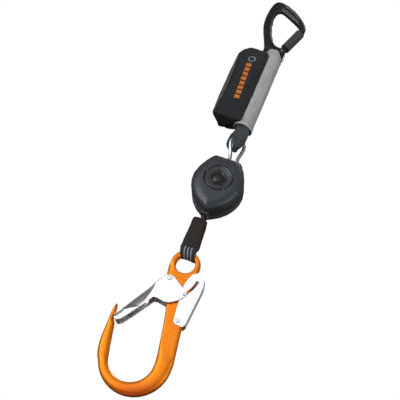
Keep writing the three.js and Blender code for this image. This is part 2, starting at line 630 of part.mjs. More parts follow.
function hookGate() {
  const outline = [[-10.6, -583.5], [-28.8, -613], [-45.6, -644.3], [-51, -660.5],
    [-56.2, -668.6], [-56, -673.5], [-50.5, -677], [-44, -672.6], [-33.7, -656.8],
    [-14.6, -624.6], [-9, -623.6], [2.8, -625.8], [11, -624], [20.5, -617.6], [26.9, -609.9],
    [30.4, -603], [29.4, -599], [25, -596.6], [16, -592.4], [1, -583.2], [-4.7, -581.4]];
  const holes = [circle(...GATE_PIVOT, 3.1, 20), circle(...GATE_TAIL, 2.3, 20)];
  const front = plate(outline, -GATE_Y[1], -GATE_Y[0], holes);
  const rear = plate(outline, GATE_Y[0], GATE_Y[1], holes);
  const web = plate([[-20.6, -599.6], [-28.8, -613], [-45.6, -644.3], [-51, -660.5],
    [-56.2, -668.6], [-56, -673.5], [-50.5, -677], [-46.5, -674.4], [-47.4, -672.8],
    [-50.7, -675], [-54.4, -672.6], [-54.6, -669], [-49.7, -661.2], [-44.2, -645],
    [-27.4, -613.7], [-19.4, -600.4]], -GATE_Y[1], GATE_Y[1]);
  return union(front, rear, web);
}

// Path of the gate's tail stud seen from the lever, as both turn together.
function leverSlot() {
  const points = [];
  for (let i = -2; i <= 14; i += 1) {
    const gate = deg((GATE_OPEN * i) / 12);
    const lever = -gate * LEVER_RATIO;
    const dx = GATE_TAIL[0] - GATE_PIVOT[0];
    const dz = GATE_TAIL[1] - GATE_PIVOT[1];
    const x = GATE_PIVOT[0] + dx * Math.cos(gate) - dz * Math.sin(gate) - LEVER_PIVOT[0];
    const z = GATE_PIVOT[1] + dx * Math.sin(gate) + dz * Math.cos(gate) - LEVER_PIVOT[1];
    points.push([LEVER_PIVOT[0] + x * Math.cos(lever) - z * Math.sin(lever),
      LEVER_PIVOT[1] + x * Math.sin(lever) + z * Math.cos(lever)]);
  }
  return points;
}

function lockLever() {
  const outline = [[22.4, -612], [20.4, -600], [19.6, -590], [21.2, -578.9], [24.9, -569.4],
    [31.7, -564.3], [40.2, -565], [45.4, -571.2], [47.8, -583], [47.6, -596], [45.6, -646],
    [43.4, -651], [32.6, -650.6], [27.8, -648], [25.2, -634.6]];
  const holes = [circle(...LEVER_PIVOT, 2.4, 20)];
  const front = plate(outline, -LEVER_Y[1], -LEVER_Y[0], holes);
  const rear = plate(outline, LEVER_Y[0], LEVER_Y[1], holes);
  const web = plate([[44, -569.5], [45.4, -571.2], [47.8, -583], [47.6, -596], [45.6, -646],
    [44.1, -646], [46.1, -596], [46.3, -583.4], [43, -571]].reverse(), -LEVER_Y[1], LEVER_Y[1]);
  const slot = strip(leverSlot(), 4.6, -20, 20);
  return cut(union(front, rear, web), slot);
}

function tailStud(side) {
  const [x, z] = GATE_TAIL;
  const y = (value) => side * value;
  const body = rod([x, y(7.3), z], [x, y(10.9), z], 1.9, 20);
  const head = rod([x, y(10.7), z], [x, y(11.5), z], 3, 20);
  return union(body, head);
}

function rivet([x, z], r, reach, headR, headT) {
  const shank = rod([x, -reach, z], [x, reach, z], r, 24);
  const heads = [-1, 1].map((s) =>
    rod([x, s * reach, z], [x, s * (reach + headT), z], headR, 24));
  return union(shank, ...heads);
}

// Torsion spring lying in the space between the hook's flank and the gate plate.
function pivotSpring([x, z], y, r, from, to, armA, armB) {
  const coil = arc(x, z, r, from, to, 12).map(([a, b]) => [a, y, b]);
  const points = [[armA[0], y, armA[1]], ...coil, [armB[0], y, armB[1]]];
  return wire(points, 0.5, 32, 6, 0.3);
}

add('hook_body', hookBody(), 'orange');
add('hook_gate', hookGate(), 'brightSteel');
add('hook_gate_rivet', rivet(GATE_PIVOT, 3, 10.7, 4.1, 0.9), 'steel');
add('hook_gate_spring', pivotSpring(GATE_PIVOT, 8, 4.6, 300, 40,
  [0.2, -598], [3.6, -581.6]), 'steel');
add('gate_tail_stud_front', tailStud(-1), 'steel');
add('gate_tail_stud_rear', tailStud(1), 'steel');
add('lock_lever', lockLever(), 'brightSteel');
add('lock_lever_rivet', rivet(LEVER_PIVOT, 2.3, 9.0, 3.4, 0.8), 'steel');
add('lock_lever_spring', wire([[41.7, 0, -641], [40.5, 0, -630], [41.3, 0, -617]], 0.45, 12, 6),
  'steel');

export default group;
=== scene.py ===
"""Looks of a compact self retracting lifeline: carabiner, energy absorber, housing, lifeline and hook.

Shapes are worked out in millimetres in the load-line frame (X right, Z up, -Y to the viewer, load line
x = 0) and turned into metres in the row frame by at().
"""
import math

import bmesh
import bpy
import numpy as np
from mathutils import Matrix, Vector, noise


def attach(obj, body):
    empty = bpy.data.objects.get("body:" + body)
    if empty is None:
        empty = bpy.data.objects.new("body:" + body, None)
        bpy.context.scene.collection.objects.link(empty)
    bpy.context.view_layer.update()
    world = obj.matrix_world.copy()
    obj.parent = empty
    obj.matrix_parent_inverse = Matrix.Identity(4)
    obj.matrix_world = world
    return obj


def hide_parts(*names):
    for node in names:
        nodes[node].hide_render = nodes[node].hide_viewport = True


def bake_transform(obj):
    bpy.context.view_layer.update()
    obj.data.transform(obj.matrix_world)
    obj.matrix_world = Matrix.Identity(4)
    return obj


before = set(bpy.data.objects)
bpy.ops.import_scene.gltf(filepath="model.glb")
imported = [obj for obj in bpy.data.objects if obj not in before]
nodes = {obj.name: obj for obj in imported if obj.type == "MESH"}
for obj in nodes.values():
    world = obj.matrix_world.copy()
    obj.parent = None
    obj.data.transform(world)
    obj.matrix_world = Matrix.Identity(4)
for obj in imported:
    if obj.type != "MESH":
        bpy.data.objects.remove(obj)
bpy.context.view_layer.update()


# ---- Frame
MM = 0.001
ORIGIN = np.array([-32.5, 0.0, -11.2])    # the row origin, at the carabiner's bearing point
LEAN = math.radians(1.6)                  # the absorber hangs this far off the load line
LEAN_AT = (-9.7, -115.0)


def at(x, y, z):
    """A load-line point in millimetres, as a row-frame point in metres."""
    return Vector(((x - ORIGIN[0]) * MM, y * MM, (z - ORIGIN[2]) * MM))


def lean(p, angle=LEAN):
    """Turns an absorber point about its hanging point, so that its foot moves to the right."""
    x, y, z = p
    dx, dz = x - LEAN_AT[0], z - LEAN_AT[1]
    c, s = math.cos(angle), math.sin(angle)
    return (LEAN_AT[0] + dx * c - dz * s, y, LEAN_AT[1] + dx * s + dz * c)


def add_object(name, data):
    obj = bpy.data.objects.new(name, data)
    bpy.context.scene.collection.objects.link(obj)
    return obj


# ---- Camera and light
CAM_AT = Vector((0.2664, -0.9849, -0.9449))
CAM_TO = Vector((0.0155, 0.0, -0.4306))
CAM_ROLL = math.radians(25.69)
LENS, SENSOR = 64.0, 36.0
FLOOR_Z, FLOOR_R = -2.56, 3.2
MIDDLE = Vector((0.02, 0.0, -0.40))       # where every light points
LIGHTS = (                                # name, place, width, height, power
    ("key", (-0.95, -1.45, -0.45), 0.8, 0.8, 15.5), ("card", (-0.36, -1.40, 0.02), 0.8, 0.8, 1.9),
    ("fill", (1.35, -1.0, -0.75), 0.6, 1.2, 9), ("rim", (0.0, 1.2, 1.15), 0.9, 0.9, 14),
    ("crown", (0.3, -0.3, 1.2), 0.7, 0.7, 6), ("under", (0.1, -0.5, -1.7), 0.8, 0.8, 1.8))
SKY = ((0.0, 0.10), (0.34, 0.14), (0.50, 0.34), (0.62, 0.62), (0.74, 0.30), (1.0, 0.16))   # height, grey
SKY_BLUE, SKY_STRENGTH = 1.01, 0.55


def make_camera():
    data = bpy.data.cameras.new("camera")
    data.lens = LENS
    data.sensor_width = SENSOR
    cam = add_object("camera", data)
    back = (CAM_AT - CAM_TO).normalized()
    right = Vector((0, 0, 1)).cross(back).normalized()
    up = back.cross(right)
    c, s = math.cos(CAM_ROLL), math.sin(CAM_ROLL)
    turn = Matrix((c * right + s * up, c * up - s * right, back)).transposed().to_4x4()
    cam.matrix_world = Matrix.Translation(CAM_AT) @ turn
    bpy.context.scene.camera = cam


def area_light(name, place, width, height, power):
    data = bpy.data.lights.new(name, "AREA")
    data.shape = "RECTANGLE"
    data.size, data.size_y = width, height
    data.energy = power
    light = add_object(name, data)
    light.location = place
    light.rotation_euler = (MIDDLE - Vector(place)).to_track_quat("-Z", "Y").to_euler()


def colour(value):
    if isinstance(value, (int, float)):
        return (value, value, value, 1)
    return tuple(value) + (1,) if len(value) == 3 else tuple(value)


def set_stops(ramp, stops):
    """Gives a colour ramp its stops, as (place, value) pairs."""
    elements = ramp.color_ramp.elements
    for element, (place, value) in zip(elements, (stops[0], stops[-1])):
        element.position = place
        element.color = colour(value)
    for place, value in stops[1:-1]:
        elements.new(place).color = colour(value)


def make_world():
    """White to the camera, and soft grey bands by height to everything else."""
    world = bpy.data.worlds.new("studio")
    bpy.context.scene.world = world
    world.use_nodes = True
    tree = world.node_tree
    tree.nodes.clear()
    kinds = ("OutputWorld", "MixShader", "Background", "Background", "LightPath", "TexCoord",
             "SeparateXYZ", "ValToRGB", "Math")
    out, mix, seen, lit, path, coord, split, ramp, half = [tree.nodes.new("ShaderNode" + k) for k in kinds]
    seen.inputs["Color"].default_value = (1, 1, 1, 1)
    lit.inputs["Strength"].default_value = SKY_STRENGTH
    set_stops(ramp, [(place, (grey, grey, grey * SKY_BLUE)) for place, grey in SKY])
    half.operation = "MULTIPLY_ADD"
    half.inputs[1].default_value = half.inputs[2].default_value = 0.5
    for source, target in (
            (coord.outputs["Generated"], split.inputs[0]), (split.outputs["Z"], half.inputs[0]),
            (half.outputs[0], ramp.inputs[0]), (ramp.outputs[0], lit.inputs["Color"]),
            (path.outputs["Is Camera Ray"], mix.inputs[0]), (lit.outputs[0], mix.inputs[1]),
            (seen.outputs[0], mix.inputs[2]), (mix.outputs[0], out.inputs["Surface"])):
        tree.links.new(source, target)


def make_floor():
    mesh = bpy.data.meshes.new("studio_floor")
    around = 64
    rim = [(FLOOR_R * math.cos(a), FLOOR_R * math.sin(a), FLOOR_Z)
           for a in (math.tau * k / around for k in range(around))]
    faces = [(0, k + 1, (k + 1) % around + 1) for k in range(around)]
    mesh.from_pydata([(0, 0, FLOOR_Z)] + rim, [], faces)
    return add_object("studio_floor", mesh)


make_camera()
make_world()
for light in LIGHTS:
    area_light(*light)
bpy.context.scene.view_settings.view_transform = "Standard"
bpy.context.scene.view_settings.look = "None"


# ---- Materials
def fill(node, values):
    """Sets a shader node's unlinked inputs."""
    for key, value in values.items():
        node.inputs[key.replace("_", " ")].default_value = value


class Look:
    """A small builder for one procedural material."""

    def __init__(self, name):
        self.material = bpy.data.materials.new(name)
        self.material.use_nodes = True
        self.tree = self.material.node_tree
        self.shader = next(n for n in self.tree.nodes if n.type == "BSDF_PRINCIPLED")
        self.coord = self.tree.nodes.new("ShaderNodeTexCoord")

    def node(self, kind, **values):
        n = self.tree.nodes.new(kind)
        for key, value in values.items():
            setattr(n, key, value)
        return n

    def link(self, a, b):
        self.tree.links.new(a, b)

    def set(self, **values):
        fill(self.shader, values)

    def split(self, source="Object"):
        n = self.node("ShaderNodeSeparateXYZ")
        self.link(self.coord.outputs[source], n.inputs[0])
        return n.outputs

    def texture(self, n, scale, stretch, **values):
        """Feeds a texture node the object's own coordinates, scaled."""
        m = self.node("ShaderNodeMapping")
        m.inputs["Scale"].default_value = [scale * s for s in stretch]
        self.link(self.coord.outputs["Object"], m.inputs["Vector"])
        self.link(m.outputs[0], n.inputs["Vector"])
        fill(n, values)
        return n.outputs["Fac"]

    def noise(self, scale, detail, stretch=(1, 1, 1), rough=0.55):
        n = self.node("ShaderNodeTexNoise")
        return self.texture(n, scale, stretch, Scale=1.0, Detail=detail, Roughness=rough)

    def wave(self, scale, axis, stretch=(1, 1, 1)):
        n = self.node("ShaderNodeTexWave", bands_direction=axis, wave_profile="SIN")
        return self.texture(n, scale, stretch, Scale=1.0, Detail=0.0)

    def math(self, operation, *values, clamp=False):
        n = self.node("ShaderNodeMath", operation=operation, use_clamp=clamp)
        for i, value in enumerate(values):
            if isinstance(value, (int, float)):
                n.inputs[i].default_value = value
            else:
                self.link(value, n.inputs[i])
        return n.outputs[0]

    def ramp(self, fac, *stops):
        n = self.node("ShaderNodeValToRGB")
        set_stops(n, stops)
        self.link(fac, n.inputs[0])
        return n.outputs[0]

    def mix(self, fac, a, b, blend="MIX"):
        n = self.node("ShaderNodeMix", data_type="RGBA", blend_type=blend)
        for key, value in ((0, fac), (6, a), (7, b)):
            if isinstance(value, (int, float, tuple)):
                n.inputs[key].default_value = colour(value) if key else value
            else:
                self.link(value, n.inputs[key])
        return n.outputs[2]

    def colour(self, output):
        self.link(output, self.shader.inputs["Base Color"])

    def rough(self, fac, low, high):
        self.link(self.ramp(fac, (0.25, low), (0.75, high)), self.shader.inputs["Roughness"])

    def bump(self, height, distance, strength):
        n = self.node("ShaderNodeBump")
        fill(n, {"Strength": strength, "Distance": distance})
        self.link(height, n.inputs["Height"])
        if self.shader.inputs["Normal"].is_linked:
            self.link(self.shader.inputs["Normal"].links[0].from_socket, n.inputs["Normal"])
        self.link(n.outputs[0], self.shader.inputs["Normal"])


PAINTED_SHADE_FROM = 0.6885            # reach, m, down and to the right, past which a darker red shade is painted in
PAINTED_SHADE_RIGHT, PAINTED_SHADE_DOWN, PAINTED_SHADE_RATE = 0.42, 0.91, 42.0


def metal(name, base, dark, rough, metallic=1.0, grain=0.0, coat=0.0, deep=None):
    """A cloudy metal with fine brushed roughness; deep is a painted shade, a darker tone blended in towards
    its lower right.
    """
    look = Look(name)
    scratch = 420
    tone = look.mix(look.noise(70, 4), dark, base)
    # painted shade: past a line across the lower right, the base colour is blended towards deep
    if deep:
        place = look.split()
        reach = look.math("SUBTRACT", look.math("MULTIPLY", place["X"], PAINTED_SHADE_RIGHT),
                          look.math("MULTIPLY", place["Z"], PAINTED_SHADE_DOWN))
        past = look.math("SUBTRACT", reach, PAINTED_SHADE_FROM)
        tone = look.mix(look.math("MULTIPLY", past, PAINTED_SHADE_RATE, clamp=True), tone, deep)
    look.colour(tone)
    look.set(Metallic=metallic, IOR=1.5)
    fine = look.noise(scratch, 2, stretch=(1, 1, 0.08))
    look.rough(look.math("MULTIPLY_ADD", fine, 0.6, 0.5), rough[0], rough[1])
    if grain:
        look.bump(look.noise(scratch * 2.5, 2), grain * MM, 0.5)
    if coat:
        look.set(Coat_Weight=coat, Coat_Roughness=0.12)
    return look.material


# Where the painted shade goes in the front cover's groove
RING_AT, RING_R, RING_HALF, RING_FLOOR = (0.0325, -0.3928), 0.0231, 0.00125, -0.0226     # metres


def groove_shade_mask(look):
    """One inside the round groove moulded in the front cover, where shade is painted, nought elsewhere."""
    place = look.split()
    dx = look.math("SUBTRACT", place["X"], RING_AT[0])
    dz = look.math("SUBTRACT", place["Z"], RING_AT[1])
    reach = look.math("SQRT", look.math("ADD", look.math("MULTIPLY", dx, dx), look.math("MULTIPLY", dz, dz)))
    near = look.math("COMPARE", reach, RING_R, RING_HALF)
    return look.math("MULTIPLY", near, look.math("GREATER_THAN", place["Y"], RING_FLOOR))


def plastic(name, base, pale, rough, grain=0.05, scale=1500, ring=None, glow=0.0):
    """A moulded plastic with a fine grain; ring is a painted shade, the dark tone painted into the housing's
    groove.
    """
    look = Look(name)
    tone = look.ramp(look.noise(90, 5), (0.3, base), (0.75, pale))
    # painted shade: the groove's colour is blended towards ring
    if ring:
        tone = look.mix(groove_shade_mask(look), tone, ring)
    look.colour(tone)
    look.rough(look.noise(260, 4), rough[0], rough[1])
    look.bump(look.noise(scale, 3, rough=0.7), grain * MM, 0.7)
    look.bump(look.noise(55, 2), 0.25 * MM, 0.35)
    if glow:
        look.set(Emission_Color=(1, 1, 1, 1), Emission_Strength=glow)
    return look.material


def cloth(name, thread, gap, pitch, relief, sheen, rough, mottled):
    """Plain weave in object space: warp and weft bands that cross, with fibre noise over them."""
    look = Look(name)
    bands = math.tau / (pitch * MM) / 20
    weave = look.math("MULTIPLY", look.wave(bands, "DIAGONAL", (1, 1, 0)), look.wave(bands, "Z"))
    fibre = look.noise(2600, 3, stretch=(1, 1, 0.5))
    shade = look.ramp(look.noise(45, 4), (0.3, 1 - mottled), (0.75, 1.0))
    look.colour(look.mix(1.0, look.mix(weave, gap, thread), shade, "MULTIPLY"))
    look.set(Roughness=rough, Sheen_Weight=sheen, Sheen_Roughness=0.45, Sheen_Tint=colour(thread))
    look.bump(weave, relief * MM, 0.8)
    look.bump(fibre, 0.07 * MM, 0.5)
    look.bump(look.noise(120, 3), 0.5 * MM, 0.35)
    return look.material


def webbing(name, thread, gap, stripes=(), stripe_tone=None):
    """Woven strap from its UV map in millimetres: u across, v along, with chevron ribs and stripes."""
    look = Look(name)
    rib_pitch, cord_pitch, stripe_reach = 1.3, 1.5, 1.235
    uv = look.split("UV")
    u, v = uv["X"], uv["Y"]
    zig = look.math("PINGPONG", u, cord_pitch)
    rib = look.math("SINE", look.math("MULTIPLY", look.math("ADD", v, zig), math.tau / rib_pitch))
    cord = look.math("SINE", look.math("MULTIPLY", u, math.tau / cord_pitch))
    weave = look.math("MULTIPLY_ADD", look.math("ADD", rib, cord), 0.25, 0.5)
    base = look.mix(weave, gap, thread)
    for centre in stripes:
        near = look.math("ABSOLUTE", look.math("SUBTRACT", u, centre))
        inside = look.ramp(look.math("DIVIDE", near, stripe_reach), (0.62, 1.0), (0.9, 0.0))
        pale = look.mix(weave, tuple(0.62 * c for c in stripe_tone), stripe_tone)
        base = look.mix(inside, base, pale)
    look.colour(base)
    look.set(Roughness=0.78, Sheen_Weight=0.2, Sheen_Roughness=0.4)
    look.bump(weave, 0.3 * MM, 0.8)
    look.bump(look.noise(2200, 3), 0.06 * MM, 0.5)
    return look.material


# deep: a darker red painted shade over the hook's lower right
ORANGE = metal("orange_anodised", (0.88, 0.25, 0.003), (0.82, 0.213, 0.002), (0.33, 0.48), 0.66,
               deep=(0.50, 0.040, 0.002))
BLACK_ALLOY = metal("black_anodised", (0.007, 0.008, 0.010), (0.004, 0.005, 0.006), (0.24, 0.38),
                    0.0, 0.0, 0.2)
BARREL_ALLOY = metal("barrel_anodised", (0.080, 0.086, 0.094), (0.055, 0.060, 0.066), (0.28, 0.4),
                     0.3, 0.015, 0.2)
STEEL = metal("zinc_steel", (0.66, 0.67, 0.69), (0.52, 0.53, 0.56), (0.22, 0.38), 1.0, 0.02)
STEEL_WIRE = metal("zinc_wire", (0.80, 0.82, 0.84), (0.66, 0.68, 0.71), (0.2, 0.34), 1.0, 0.02)
BRIGHT = metal("polished_steel", (0.86, 0.87, 0.88), (0.78, 0.79, 0.81), (0.13, 0.27), 1.0, 0.01)
BRASS = metal("turned_brass", (0.62, 0.44, 0.16), (0.48, 0.33, 0.12), (0.25, 0.4), 1.0, 0.02)
CASING = plastic("casing_plastic", (0.026, 0.031, 0.035), (0.036, 0.043, 0.047), (0.36, 0.5))
# The front cover's groove is darkened with a painted shade.
CASING_FRONT = plastic("casing_front", (0.027, 0.033, 0.037), (0.037, 0.045, 0.049), (0.36, 0.5),
                       ring=(0.002, 0.002, 0.003))
CASING_DARK = plastic("casing_plastic_dark", (0.018, 0.020, 0.022), (0.026, 0.029, 0.032), (0.35, 0.5))
GLOSS_DARK = plastic("hub_gloss", (0.003, 0.0035, 0.004), (0.005, 0.0055, 0.006), (0.3, 0.42), 0.01, 900)
POLYMER = plastic("drum_polymer", (0.55, 0.52, 0.46), (0.63, 0.60, 0.54), (0.3, 0.45), 0.03, 900)
FLOOR = plastic("studio_paper", (0.86, 0.86, 0.86), (0.90, 0.90, 0.90), (0.8, 0.9), 0.02, 300, glow=0.62)
BLACK_CLOTH = cloth("black_nylon", (0.021, 0.023, 0.030), (0.008, 0.009, 0.012), 1.1, 0.14, 0.06, 0.8, 0.3)
GREY_CLOTH = cloth("grey_cover", (0.54, 0.555, 0.56), (0.39, 0.40, 0.405), 1.0, 0.12, 0.1, 0.75, 0.12)
PALE_CLOTH = cloth("pale_side", (0.125, 0.121, 0.119), (0.086, 0.084, 0.082), 1.0, 0.12, 0.1, 0.75, 0.12)
BROWN_CLOTH = cloth("wear_sleeve", (0.105, 0.070, 0.055), (0.014, 0.011, 0.010), 1.7, 0.5, 0.25, 0.95, 0.4)
DARK_CLOTH = cloth("edge_band", (0.014, 0.014, 0.018), (0.006, 0.006, 0.008), 0.9, 0.2, 0.2, 0.85, 0.2)
ORANGE_PRINT = cloth("orange_print", (0.90, 0.24, 0.015), (0.62, 0.15, 0.01), 1.0, 0.1, 0.1, 0.6, 0.15)
GREY_PRINT = cloth("grey_print", (0.34, 0.35, 0.36), (0.22, 0.225, 0.23), 1.0, 0.1, 0.1, 0.6, 0.15)
THREAD = cloth("stitch_thread", (0.10, 0.10, 0.11), (0.04, 0.04, 0.05), 0.5, 0.1, 0.2, 0.7, 0.2)
DARK_THREAD = cloth("dark_thread", (0.030, 0.030, 0.036), (0.015, 0.015, 0.02), 0.5, 0.1, 0.2, 0.7, 0.2)
SLATE_WEB = webbing("slate_strap", (0.046, 0.064, 0.073), (0.018, 0.026, 0.031))
LINE_WEB = webbing("line_strap", (0.022, 0.026, 0.042), (0.008, 0.009, 0.015),
                   (-5.2, 0.0, 5.2), (0.33, 0.36, 0.42))

SLOT_LOOKS = {
    "black_alloy": BLACK_ALLOY, "steel": STEEL, "bright_steel": BRIGHT, "brass": BRASS,
    "orange_alloy": ORANGE, "casing": CASING, "casing_dark": CASING_DARK,
    "black_fabric": BLACK_CLOTH, "grey_fabric": GREY_CLOTH, "slate_webbing": SLATE_WEB,
    "brown_fabric": BROWN_CLOTH, "line_webbing": LINE_WEB, "orange_print": ORANGE_PRINT,
    "polymer": POLYMER,
}

floor = make_floor()
floor.data.materials.append(FLOOR)
floor.visible_diffuse = False
floor.visible_glossy = False

for node in nodes.values():
    for i, old in enumerate(node.data.materials):
        node.data.materials[i] = SLOT_LOOKS[old.name.split(".")[0]]


# ---- Mesh helpers
def smooth_faces(mesh):
    mesh.polygons.foreach_set("use_smooth", [True] * len(mesh.polygons))


def mesh_points(obj):
    """A mesh's points in load-line millimetres."""
    co = np.zeros(len(obj.data.vertices) * 3)
    obj.data.vertices.foreach_get("co", co)
    return co.reshape(-1, 3) / MM + ORIGIN


def put_points(obj, p):
    obj.data.vertices.foreach_set("co", ((p - ORIGIN) * MM).ravel())
    obj.data.update()


def link_mesh(name, verts, faces, uvs=None):
    """A mesh object from row-frame points, with an optional UV pair for each vertex, normals outward."""
    mesh = bpy.data.meshes.new(name)
    mesh.from_pydata([tuple(v) for v in verts], [], faces)
    mesh.validate()
    if uvs:
        layer = mesh.uv_layers.new(name="UVMap")
        for loop in mesh.loops:
            layer.data[loop.index].uv = uvs[loop.vertex_index]
    smooth_faces(mesh)
    bm = bmesh.new()
    bm.from_mesh(mesh)
    bmesh.ops.recalc_face_normals(bm, faces=bm.faces)
    bm.to_mesh(mesh)
    bm.free()
    return add_object(name, mesh)


def ring_quads(rows, count, start=0, closed=False):
    """The quads between rows of count points; closed joins the last row to the first."""
    faces = []
    for i in range(rows if closed else rows - 1):
        a, b = start + i * count, start + (i + 1) % rows * count
        for k in range(count):
            n = (k + 1) % count
            faces.append((a + k, a + n, b + n, b + k))
    return faces


def loft(name, rings, closed=False, uvs=None, turn=lambda p: p):
    """Joins rings of points, given in load-line millimetres; open ends are capped."""
    count = len(rings[0])
    verts = [at(*turn(p)) for ring in rings for p in ring]
    faces = ring_quads(len(rings), count, closed=closed)
    if not closed:
        faces.append(tuple(range(count))[::-1])
        faces.append(tuple((len(rings) - 1) * count + k for k in range(count)))
    return link_mesh(name, verts, faces, [uv for ring in uvs for uv in ring] if uvs else None)


def fan_ended(name, rings, first, last):
    """Joins rings of points and closes both ends with a fan round a centre point."""
    count = len(rings[0])
    verts = [at(*p) for ring in rings for p in ring] + [at(*first), at(*last)]
    faces = ring_quads(len(rings), count)
    end = (len(rings) - 1) * count
    for k in range(count):
        n = (k + 1) % count
        faces.append((end + count, n, k))
        faces.append((end + count + 1, end + k, end + n))
    return link_mesh(name, verts, faces)


def from_bmesh(name, bm):
    mesh = bpy.data.meshes.new(name)
    bm.to_mesh(mesh)
    bm.free()
    smooth_faces(mesh)
    return add_object(name, mesh)


def join(name, parts):
    """One mesh object from several, which are taken away."""
    bm = bmesh.new()
    for part in parts:
        bm.from_mesh(part.data)
        bpy.data.objects.remove(part)
    return from_bmesh(name, bm)


def walked_along(line):
    """The distance walked along a polyline at each of its points."""
    return np.concatenate([[0], np.cumsum(np.linalg.norm(np.diff(line, axis=0), axis=1))])


def directions(line):
    tangent = np.gradient(line, axis=0)
    return tangent / np.linalg.norm(tangent, axis=1)[:, None]


def smooth_line(points, count):
    """count points evenly spaced along a Catmull-Rom curve through the given points."""
    pts = [np.array(p, float) for p in points]
    pts = [2 * pts[0] - pts[1], *pts, 2 * pts[-1] - pts[-2]]
    fine = []
    for i in range(1, len(pts) - 2):
        a, b, c, d = pts[i - 1:i + 3]
        for t in np.linspace(0, 1, 24, endpoint=False):
            fine.append(0.5 * (2 * b + (c - a) * t + (2 * a - 5 * b + 4 * c - d) * t * t
                               + (3 * b - a - 3 * c + d) * t ** 3))
    fine.append(pts[-2])
    fine = np.array(fine)
    walked = walked_along(fine)
    want = np.linspace(0, walked[-1], count)
    return np.stack([np.interp(want, walked, fine[:, k]) for k in range(fine.shape[1])], 1)


def tube(name, points, radius, count, sides):
    """A round wire along a smooth path in load-line millimetres."""
    line = smooth_line(points, count)
    tangent = directions(line)
    side = np.cross(tangent[0], (0.13, 0.31, 0.94))
    side /= np.linalg.norm(side)
    rings = []
    for p, way in zip(line, tangent):
        side = side - way * side.dot(way)
        side /= np.linalg.norm(side)
        other = np.cross(way, side)
        rings.append([p + radius * (math.cos(a) * side + math.sin(a) * other)
                      for a in np.linspace(0, math.tau, sides, endpoint=False)])
    return loft(name, rings)


def strap(name, line, across, half, thick, crown, sides, power=3.0):
    """A woven strap: a rounded flat section swept along a path. half and crown are one number, or a
    table of places from 0 to 1 along the path and values there."""
    line = np.array(line, float)
    walked = walked_along(line)
    rings, uvs = [], []
    for i, (p, way) in enumerate(zip(line, directions(line))):
        s = i / (len(line) - 1)
        a = np.array(across, float) - way * np.dot(across, way)
        a /= np.linalg.norm(a)
        n = np.cross(a, way)
        h, c = (np.interp(s, *value) if isinstance(value, tuple) else value for value in (half, crown))
        ring, ring_uv = [], []
        for k in range(sides):
            cu, su = math.cos(math.tau * k / sides), math.sin(math.tau * k / sides)
            u = h * math.copysign(abs(cu) ** (2 / power), cu)
            w = thick / 2 * math.copysign(abs(su) ** (2 / power), su)
            ring.append(p + a * u + n * (w + c * (1 - (u / h) ** 2)))
            ring_uv.append((u, walked[i]))
        rings.append(ring)
        uvs.append(ring_uv)
    return loft(name, rings, uvs=uvs)


def apply_modifiers(obj):
    """Bakes the modifiers into the mesh."""
    dg = bpy.context.evaluated_depsgraph_get()
    mesh = bpy.data.meshes.new_from_object(obj.evaluated_get(dg))
    obj.modifiers.clear()
    obj.data = mesh


def modify(obj, kind, **settings):
    """Adds a modifier and sets its values."""
    mod = obj.modifiers.new(kind.lower(), kind)
    for key, value in settings.items():
        setattr(mod, key, value)


def forged(name, node, voxel, passes, shape):
    """A smooth body from a CAD node's faceted solid: voxel remesh, shaping, then smoothing."""
    obj = add_object(name, nodes[node].data.copy())
    modify(obj, "WELD", merge_threshold=1e-6)
    modify(obj, "REMESH", mode="VOXEL", voxel_size=voxel * MM)
    apply_modifiers(obj)
    put_points(obj, shape(mesh_points(obj)))
    modify(obj, "SMOOTH", factor=0.5, iterations=passes)
    apply_modifiers(obj)
    smooth_faces(obj.data)
    return obj


def finish_piece(obj, body, material, replaces=()):
    obj.data.materials.clear()
    obj.data.materials.append(material)
    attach(obj, body)
    if replaces:
        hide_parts(*replaces)
    return obj


def arc_points(cx, cz, r, a0, a1, n):
    return [(cx + r * math.cos(math.radians(a)), cz + r * math.sin(math.radians(a)))
            for a in np.linspace(a0, a1, n)]


def distance_to(points, line):
    """Distance in the XZ plane from each point to a polyline."""
    q = points[:, [0, 2]]
    best = np.full(len(q), 1e9)
    line = np.array(line, float)
    for a, b in zip(line[:-1], line[1:]):
        d = b - a
        t = np.clip(((q - a) @ d) / max(d @ d, 1e-9), 0, 1)
        best = np.minimum(best, np.linalg.norm(q - a - t[:, None] * d, axis=1))
    return best


def ease(x, lo, hi):
    t = np.clip((x - lo) / (hi - lo), 0, 1)
    return t * t * (3 - 2 * t)


def soften(node, width, segments, angle=32):
    """Rounds the sharp edges of a CAD node that stays as it is."""
    obj = nodes[node]
    modify(obj, "WELD", merge_threshold=1e-6)
    modify(obj, "DECIMATE", decimate_type="DISSOLVE", angle_limit=math.radians(1.0))
    modify(obj, "BEVEL", width=width * MM, segments=segments, limit_method="ANGLE",
           angle_limit=math.radians(angle))
    modify(obj, "WEIGHTED_NORMAL", weight=90)
    smooth_faces(obj.data)


def set_half(p, half, where):
    """Brings points that stand more than half off the middle plane in to it, where asked."""
    return np.where((np.abs(p[:, 1]) > half) & where, np.sign(p[:, 1]) * half, p[:, 1])


def between(inn, out):
    """How far across a bar a point is: 0 at its inner edge and 1 at its outer one."""
    return inn / np.maximum(inn + out, 1e-6)


